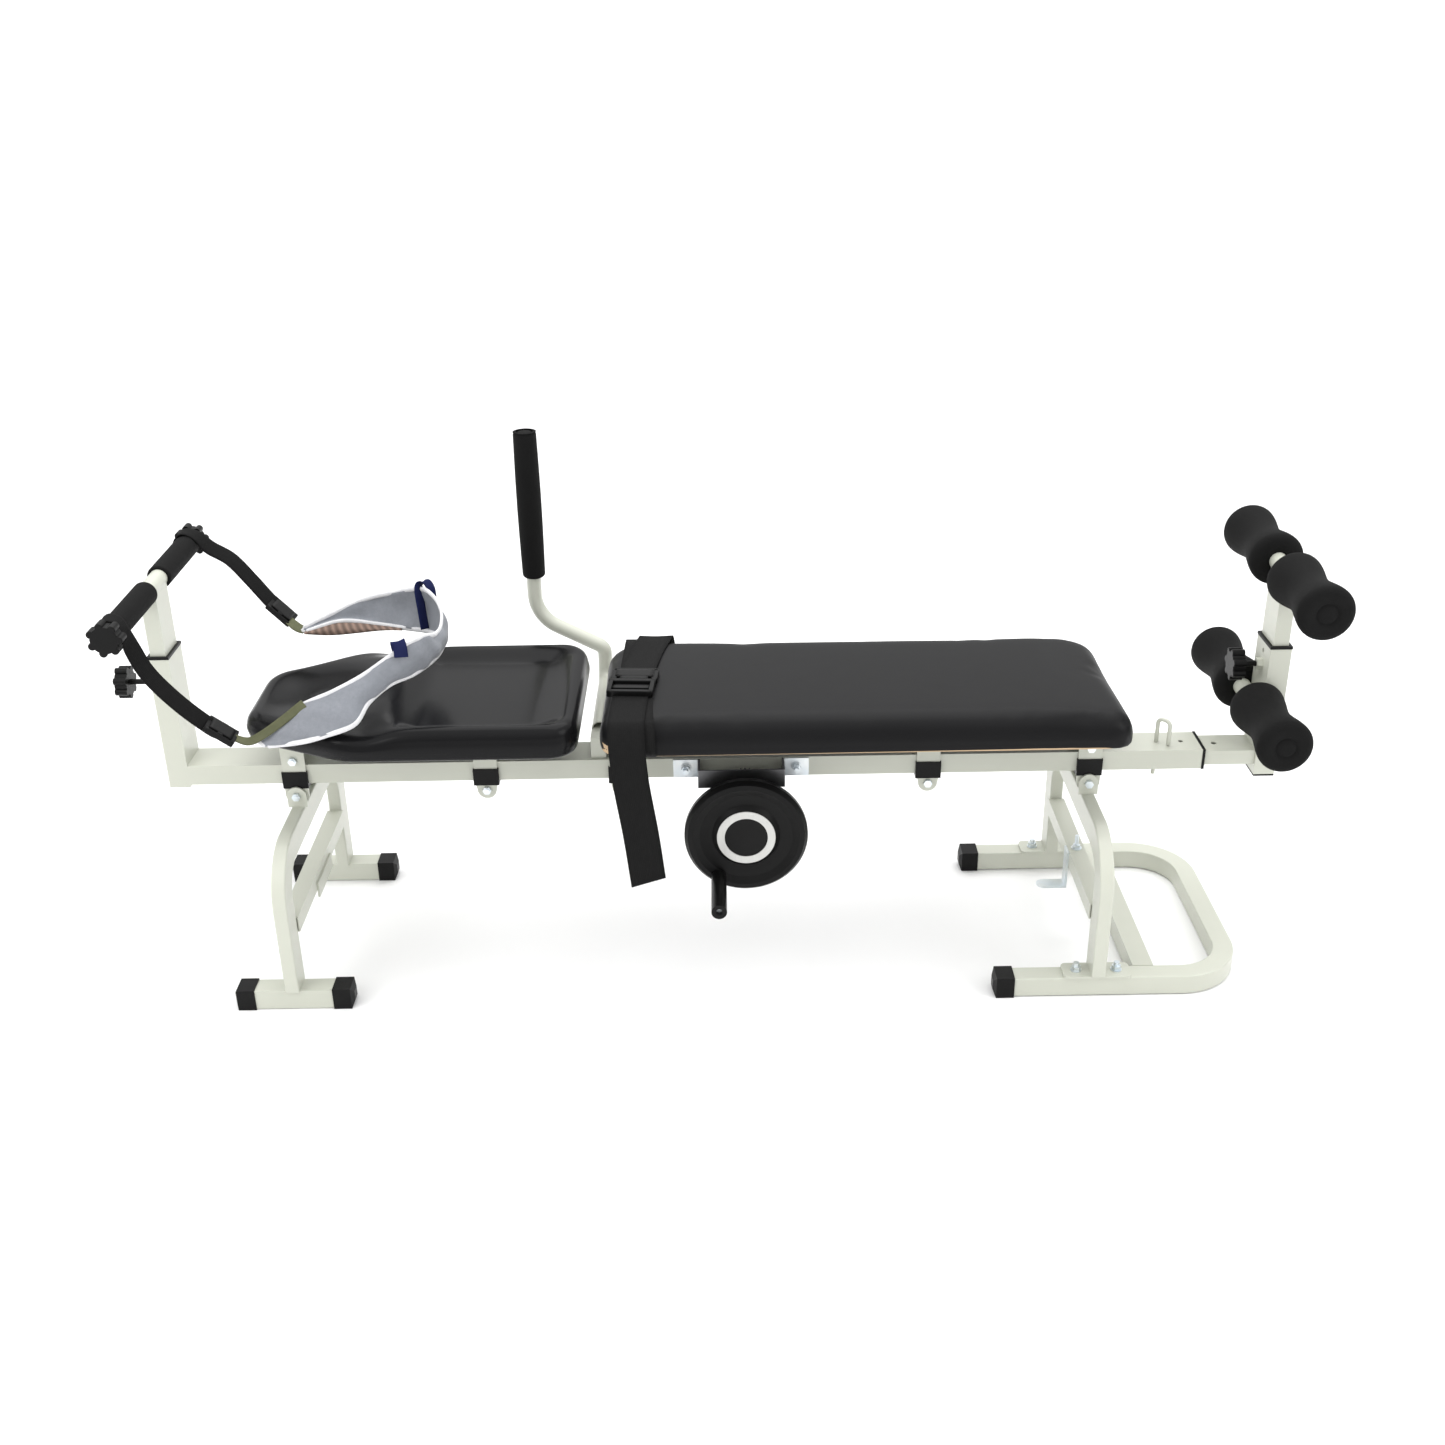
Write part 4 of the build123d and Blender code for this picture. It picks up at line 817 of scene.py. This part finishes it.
# %% Waist belt
BELT_WIDTH = 0.050
TOP, EDGE = PAD_HIGH / MM, PAD_HALF / MM
belt_paths = {
    "belt_far_inner": ([(-103, EDGE - 12, 377), (-101, EDGE + 2, 386), (-100, EDGE + 3, 402),
                        (-100, EDGE - 7, TOP - 3), (-101, EDGE - 24, TOP + 2),
                        (-102, 90, TOP + 3.5), (-103, 40, TOP + 5), (-103, -8, TOP + 6)], 0.0),
    "belt_far_outer": ([(-84, EDGE - 10, 378), (-80, EDGE + 5, 387), (-77, EDGE + 6, 404),
                        (-79, EDGE - 5, TOP + 1), (-83, EDGE - 22, TOP + 5), (-92, 90, TOP + 6),
                        (-99, 40, TOP + 7.5), (-103, 4, TOP + 9)], 0.0),
    "belt_near_inner": ([(-104, -44, TOP + 7), (-103, -80, TOP + 4), (-101, -EDGE + 26, TOP + 2.5),
                         (-99, -EDGE + 8, TOP - 3), (-98, -EDGE - 2, 403), (-98, -EDGE - 1, 388),
                         (-98, -EDGE + 12, 377)], 0.0),
    "belt_tail": ([(-108, -42, TOP + 9), (-110, -80, TOP + 6.5), (-112, -EDGE + 26, TOP + 5),
                   (-112.5, -EDGE + 6, TOP + 0.5), (-112, -EDGE - 6.5, 405),
                   (-111, -EDGE - 9, 385), (-107, -EDGE - 10, 340), (-97, -EDGE - 9, 265),
                   (-89, -EDGE - 8, 188)], -0.010),
}
for belt_name, (path, cut) in belt_paths.items():
    piece, length = ribbon(belt_name, path, BELT_WIDTH, (1, 0, 0), BLACK_WEB, cut=cut, count=140)
    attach(piece, "carriage")
    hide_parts("waist_belt")

# %% [markdown]
# The side-release buckle is one moulded frame: a broad upper bar, two prongs' side windows
# and a ladder of bars that the tail is threaded through.  Boxes with a Bevel would do, but a
# superellipse section gives each bar its rounded edges with no modifier left on the piece.

# %% Belt buckle
BAR_STATIONS, BAR_AROUND = 15, 32


def rounded_bar(length, width, height, centre):
    """A box with rounded edges: a superellipse section, |y|^6 + |z|^6 = 1, carried along X,
    drawn in a little at both ends and closed by a point."""
    s = np.linspace(-1, 1, BAR_STATIONS)
    draw = (1 - np.abs(s) ** 8) ** (1 / 8) * 0.12 + 0.88
    draw[[0, -1]] = 0
    turn = np.linspace(0, 2 * math.pi, BAR_AROUND, endpoint=False)
    c, n = np.cos(turn), np.sin(turn)
    y = np.sign(c) * np.abs(c) ** (1 / 3) * width / 2
    z = np.sign(n) * np.abs(n) ** (1 / 3) * height / 2
    s = np.concatenate([[-1], s[1:-1], [1]]) * length / 2
    s[1], s[-2] = s[0], s[-1]
    return np.stack([np.broadcast_to(s[:, None], (BAR_STATIONS, BAR_AROUND)),
                     draw[:, None] * y[None], draw[:, None] * z[None]], -1) + np.asarray(centre)


def turned(bar, centre, tilt=0.0, lean=0.0):
    """Turns points about Y by tilt and then about Z by lean, and moves them to centre."""
    turn = np.array(Matrix.Rotation(lean, 3, "Z") @ Matrix.Rotation(tilt, 3, "Y"))
    return bar @ turn.T + np.asarray(centre)


low, high = (np.array(c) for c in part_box("belt_buckle"))
buckle_middle = (low + high) / 2 + (0, 0, -0.0005)
BUCKLE_STRETCH = 1.45
buckle_bars = [rounded_bar(0.054, 0.016, 0.0105, (0.001, 0.016, 0.001)),
               rounded_bar(0.062, 0.0032, 0.0080, (0.001, 0.026, 0.001)),
               rounded_bar(0.040, 0.0080, 0.0090, (0.001, 0.006, 0.001)),
               rounded_bar(0.008, 0.024, 0.0085, (-0.028, 0.016, 0.0)),
               rounded_bar(0.008, 0.024, 0.0085, (0.030, 0.016, 0.0)),
               rounded_bar(0.066, 0.0060, 0.0105, (0, -0.002, 0.001)),
               rounded_bar(0.058, 0.0040, 0.0060, (0, -0.0085, -0.001)),
               rounded_bar(0.056, 0.0060, 0.0060, (0, -0.0160, 0.0015)),
               rounded_bar(0.062, 0.0050, 0.0100, (0, -0.0270, 0.001)),
               rounded_bar(0.0055, 0.030, 0.0105, (-0.0295, -0.0140, 0.001)),
               rounded_bar(0.0055, 0.030, 0.0105, (0.0295, -0.0140, 0.001)),
               rounded_bar(0.050, 0.020, 0.0030, (0, -0.016, -0.003))]
BUCKLE_LEAN = math.radians(-4)
buckle = grids_piece("side_release_buckle",
                     [turned(bar * (1, BUCKLE_STRETCH, 1), buckle_middle, 0.0, BUCKLE_LEAN)
                      for bar in buckle_bars], PLASTIC, 1e-7)
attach(buckle, "carriage")
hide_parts("belt_buckle")
print("buckle bars", len(buckle_bars))

# %% [markdown]
# The halter is one long panel of grey knit, open towards the head end.  Its near wing leans
# on the pad, its back stands behind the neck, and its far wing stands up in the air, held by
# the stiffness of the padding.  A simulated cloth would fall flat here, so two edge curves
# give the panel's shape, in millimetres, and the rows between them swell outwards.

# %% Halter panel
LOWER_EDGE = [(-603, -152, 404), (-555, -158, 412), (-520, -160, 422), (-479, -152, 435),
              (-461, -128, 457), (-435, -110, 474), (-407, -92, 480), (-393, -70, 482),
              (-385, -40, 480), (-381, 0, 476), (-384, 40, 473), (-400, 75, 471),
              (-421, 95, 469), (-451, 108, 468), (-492, 122, 469), (-548, 125, 474),
              (-601, 106, 465)]
UPPER_EDGE = [(-613, -149, 411), (-591, -140, 427), (-556, -132, 453), (-507, -126, 473),
              (-466, -118, 493), (-428, -108, 517), (-405, -95, 529), (-388, -70, 528),
              (-380, -40, 518), (-378, 0, 514), (-382, 35, 524), (-398, 70, 533),
              (-423, 105, 531), (-468, 130, 516), (-515, 140, 502), (-567, 130, 482),
              (-604, 108, 470)]
ROWS, COLUMNS = 200, 17
lower = smooth_path(np.array(LOWER_EDGE) * MM, ROWS)
upper = smooth_path(np.array(UPPER_EDGE) * MM, ROWS)
share = np.linspace(0, 1, COLUMNS)[None, :, None]
panel = lower[:, None] * (1 - share) + upper[:, None] * share
outward = unit(np.cross(np.gradient(lower, axis=0), upper - lower))
along = np.linspace(0, 1, ROWS)[:, None]
BELLY, WRINKLE = 0.007, 0.0016
swell = (BELLY * np.sin(np.pi * share[..., 0]) * np.sin(np.pi * np.clip(along, 0, 1)) ** 0.6
         + WRINKLE * np.sin(along * 61) * np.sin(np.pi * share[..., 0] * 2 + along * 17))
panel += outward[:, None] * swell[..., None]
walked = lengths_along((lower + upper) / 2)
tall = np.linalg.norm(upper - lower, axis=1)
uv = np.stack(np.broadcast_arrays(tall[:, None] * share[..., 0], walked[:, None]), -1)
halter = make_piece("halter_panel", panel, grid_faces(ROWS, COLUMNS), HEATHER, uv=uv)
thick = halter.modifiers.new("padding", "SOLIDIFY")
thick.thickness, thick.offset = 0.0030, 0.0

# %% [markdown]
# White tape binds both edges and the two tips, and a pleated brown lining shows inside the far
# wing.  Each piece of the halter has its placement baked into its points.


def with_head_bar(piece):
    """Bakes the piece's placement into its points."""
    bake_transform(piece)


binding = pipe("halter_binding", [LOWER_EDGE, UPPER_EDGE], 0.0075, 0.0046, WHITE_BINDING,
               count=200)
tips = pipe("halter_tip_binding", [[LOWER_EDGE[0], (-609, -151, 407), UPPER_EDGE[0]],
                                   [LOWER_EDGE[-1], (-603, 107, 468), UPPER_EDGE[-1]]],
            0.006, 0.0046, WHITE_BINDING, count=14)
LINING_LOW = [(-601, 104, 463), (-564, 112, 457), (-525, 114, 459), (-489, 113, 463),
              (-455, 104, 467)]
LINING_TOP = [(-600, 107, 466), (-560, 121, 472), (-525, 123, 471), (-492, 120, 468),
              (-456, 107, 468)]
LINING_ROWS, LINING_COLUMNS, LINING_WIDTH = 80, 7, 0.022
lining_low = smooth_path(np.array(LINING_LOW) * MM, LINING_ROWS)
lining_top = smooth_path(np.array(LINING_TOP) * MM, LINING_ROWS)
fold = np.linspace(0, 1, LINING_COLUMNS)[None, :, None]
lining_grid = lining_low[:, None] * (1 - fold) + lining_top[:, None] * fold
lining_grid[..., 1] -= 0.004 * np.sin(np.pi * fold[..., 0])
lining_uv = np.stack(np.broadcast_arrays(
    np.linalg.norm(lining_top - lining_low, axis=1)[:, None] * fold[..., 0],
    lengths_along(lining_low)[:, None]), -1)
lining = make_piece("halter_lining", lining_grid, grid_faces(LINING_ROWS, LINING_COLUMNS),
                    LINING, uv=lining_uv)
thick = lining.modifiers.new("padding", "SOLIDIFY")
thick.thickness, thick.offset = 0.0012, 0.0

for piece in (halter, binding, tips, lining):
    with_head_bar(piece)
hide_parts("harness_collar")

# %% [markdown]
# Black straps run from the bar ends to plastic slides, and thinner olive tape runs on from
# the slides into the halter.  Small navy loops are sewn over the halter's upper edge.  All
# are ribbons like the belt, with a direction for the width at every point of the path.

# %% Halter straps and loops
STRAP_WIDTH = 0.024
strap_paths = {
    "strap_near": ([(-789, -171, 568), (-794, -171, 583), (-786, -171, 599), (-775, -171, 603),
                    (-762, -171, 597), (-757, -171, 578), (-752, -170, 556), (-738, -168, 520),
                    (-708, -162, 476), (-672, -155, 436), (-655, -153, 425)],
                  [(0, 1, 0.05)] * 5 + [(0.2, 0.9, 0.1)] + [(0.47, 0.75, 0.28)] * 5),
    "strap_far": ([(-789, 170, 568), (-794, 170, 583), (-786, 170, 599), (-775, 170, 603),
                   (-759, 170, 596), (-742, 169, 578), (-712, 165, 560), (-684, 160, 528),
                   (-662, 156, 500), (-641, 152, 476)],
                 [(0, 1, 0.05)] * 4 + [(0.1, 0.9, 0.2)] + [(0.35, 0.75, 0.35)] * 5),
}
for strap_name, (path, across) in strap_paths.items():
    piece, length = ribbon(strap_name, path, STRAP_WIDTH, across, BLACK_WEB, 0.0018, count=150)
    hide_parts("harness_straps")
    with_head_bar(piece)

small_tapes = {
    "olive_tape_near": ([(-664, -154, 428), (-645, -153, 419), (-625, -154, 413),
                         (-606, -152, 421), (-580, -144, 437), (-548, -136, 460)],
                        [(0.1, 1, 0.2)] * 2 + [(-0.2, 0.7, 0.6)] + [(-0.45, 0.25, 0.85)] * 3,
                        0.012, OLIVE_WEB),
    "olive_tape_far": ([(-646, 153, 480), (-630, 140, 470), (-614, 122, 466), (-598, 108, 467)],
                       (0, 1, 0.2), 0.016, OLIVE_WEB),
    "navy_loop_near": ([(-418, -97, 508), (-420, -102, 530), (-418, -107, 536), (-415, -112, 530),
                        (-414, -114, 516)], (1, 0, 0.25), 0.019, NAVY_WEB),
    "navy_loop_far": ([(-417, 84, 476), (-420, 90, 500), (-424, 100, 532), (-420, 104, 541),
                       (-412, 104, 542), (-406, 100, 534), (-404, 97, 520)],
                      (0.7, 0.7, 0), 0.014, NAVY_WEB),
}
for tape_name, (path, across, width, finish) in small_tapes.items():
    piece, length = ribbon(tape_name, path, width, across, finish, 0.0014, count=60)
    with_head_bar(piece)

# %% [markdown]
# A strap slide is a small plastic frame with a bar across its middle and a flat lid.  Both
# slides are the same bars, turned to lie along their straps.

# %% Strap slides
SLIDE_STRETCH = (1.30, 1.15, 1.5)
slide_bars = [rounded_bar(0.005, 0.032, 0.0050, (-0.0145, 0, 0)),
              rounded_bar(0.005, 0.032, 0.0050, (0.0145, 0, 0)),
              rounded_bar(0.006, 0.030, 0.0060, (0, 0, 0.0010)),
              rounded_bar(0.033, 0.004, 0.0052, (0, -0.0145, 0)),
              rounded_bar(0.033, 0.004, 0.0052, (0, 0.0145, 0)),
              rounded_bar(0.026, 0.025, 0.0030, (0, 0, 0.0030))]
slide_places = [((-0.660, -0.154, 0.429), math.radians(38), 0.05),
                ((-0.644, 0.153, 0.480), math.radians(45), -0.1)]
slides = grids_piece("strap_slides", [turned(bar * SLIDE_STRETCH, *place)
                                      for place in slide_places for bar in slide_bars],
                     PLASTIC, 1e-7)
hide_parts("harness_buckles")
with_head_bar(slides)
print("slides", len(slide_places))

# %% [markdown]
# A plain pale floor and soft light from large panels, as in a catalogue studio.  Black vinyl
# is mostly seen by what it mirrors, so the sky is brighter overhead than at the horizon: the
# tops of the pads pick that up and their sides stay dark.

# %% Floor and lights
def wide_floor(size=600.0):
    """One flat square on the ground."""
    corners = np.array([(-1, -1, 0), (1, -1, 0), (1, 1, 0), (-1, 1, 0)], float) * size / 2
    f = Finish("studio_floor", (0.90, 0.90, 0.90), 0.9)
    f.tint(f.noise(2, 2), 0.995, 1.0)
    return make_piece("studio_floor", corners, np.array([[0, 1, 2, 3]]), f.material, smooth=False)


floor = wide_floor()


def panel_light(name, place, target, size, power):
    """A square lamp of that size in metres and power in watts, turned to face the target."""
    data = bpy.data.lights.new(name, "AREA")
    data.shape, data.size, data.energy = "SQUARE", size, power
    lamp = bpy.data.objects.new(name, data)
    bpy.context.collection.objects.link(lamp)
    way = Matrix.Translation(place).to_translation() - Matrix.Translation(target).to_translation()
    lamp.matrix_world = (Matrix.Translation(place)
                         @ way.to_track_quat("Z", "Y").to_matrix().to_4x4())


panel_light("ceiling_panel", (0.2, 0.6, 2.6), (0, 0, 0.3), 2.6, 38)
panel_light("left_panel", (-2.4, -1.6, 1.9), (-0.2, 0, 0.3), 1.6, 26)
panel_light("right_panel", (2.6, -1.2, 1.7), (0.3, 0, 0.3), 1.6, 18)

# %% Sky
HORIZON_GLOW, OVERHEAD_GLOW = 0.50, 1.75
world = bpy.data.worlds.new("studio_air")
world.use_nodes = True
sky = world.node_tree
height = sky.nodes.new("ShaderNodeSeparateXYZ")
sky.links.new(sky.nodes.new("ShaderNodeTexCoord").outputs["Generated"], height.inputs[0])
glow = sky.nodes.new("ShaderNodeMapRange")
glow.inputs["To Min"].default_value = HORIZON_GLOW
glow.inputs["To Max"].default_value = OVERHEAD_GLOW
sky.links.new(height.outputs[2], glow.inputs["Value"])
sky.links.new(glow.outputs[0], sky.nodes["Background"].inputs["Strength"])
sky.nodes["Background"].inputs["Color"].default_value = (1, 1, 1, 1)
bpy.context.scene.world = world
bpy.context.scene.view_settings.view_transform = "Standard"
print("lights", len(bpy.data.lights), "sky", HORIZON_GLOW, "to", OVERHEAD_GLOW)
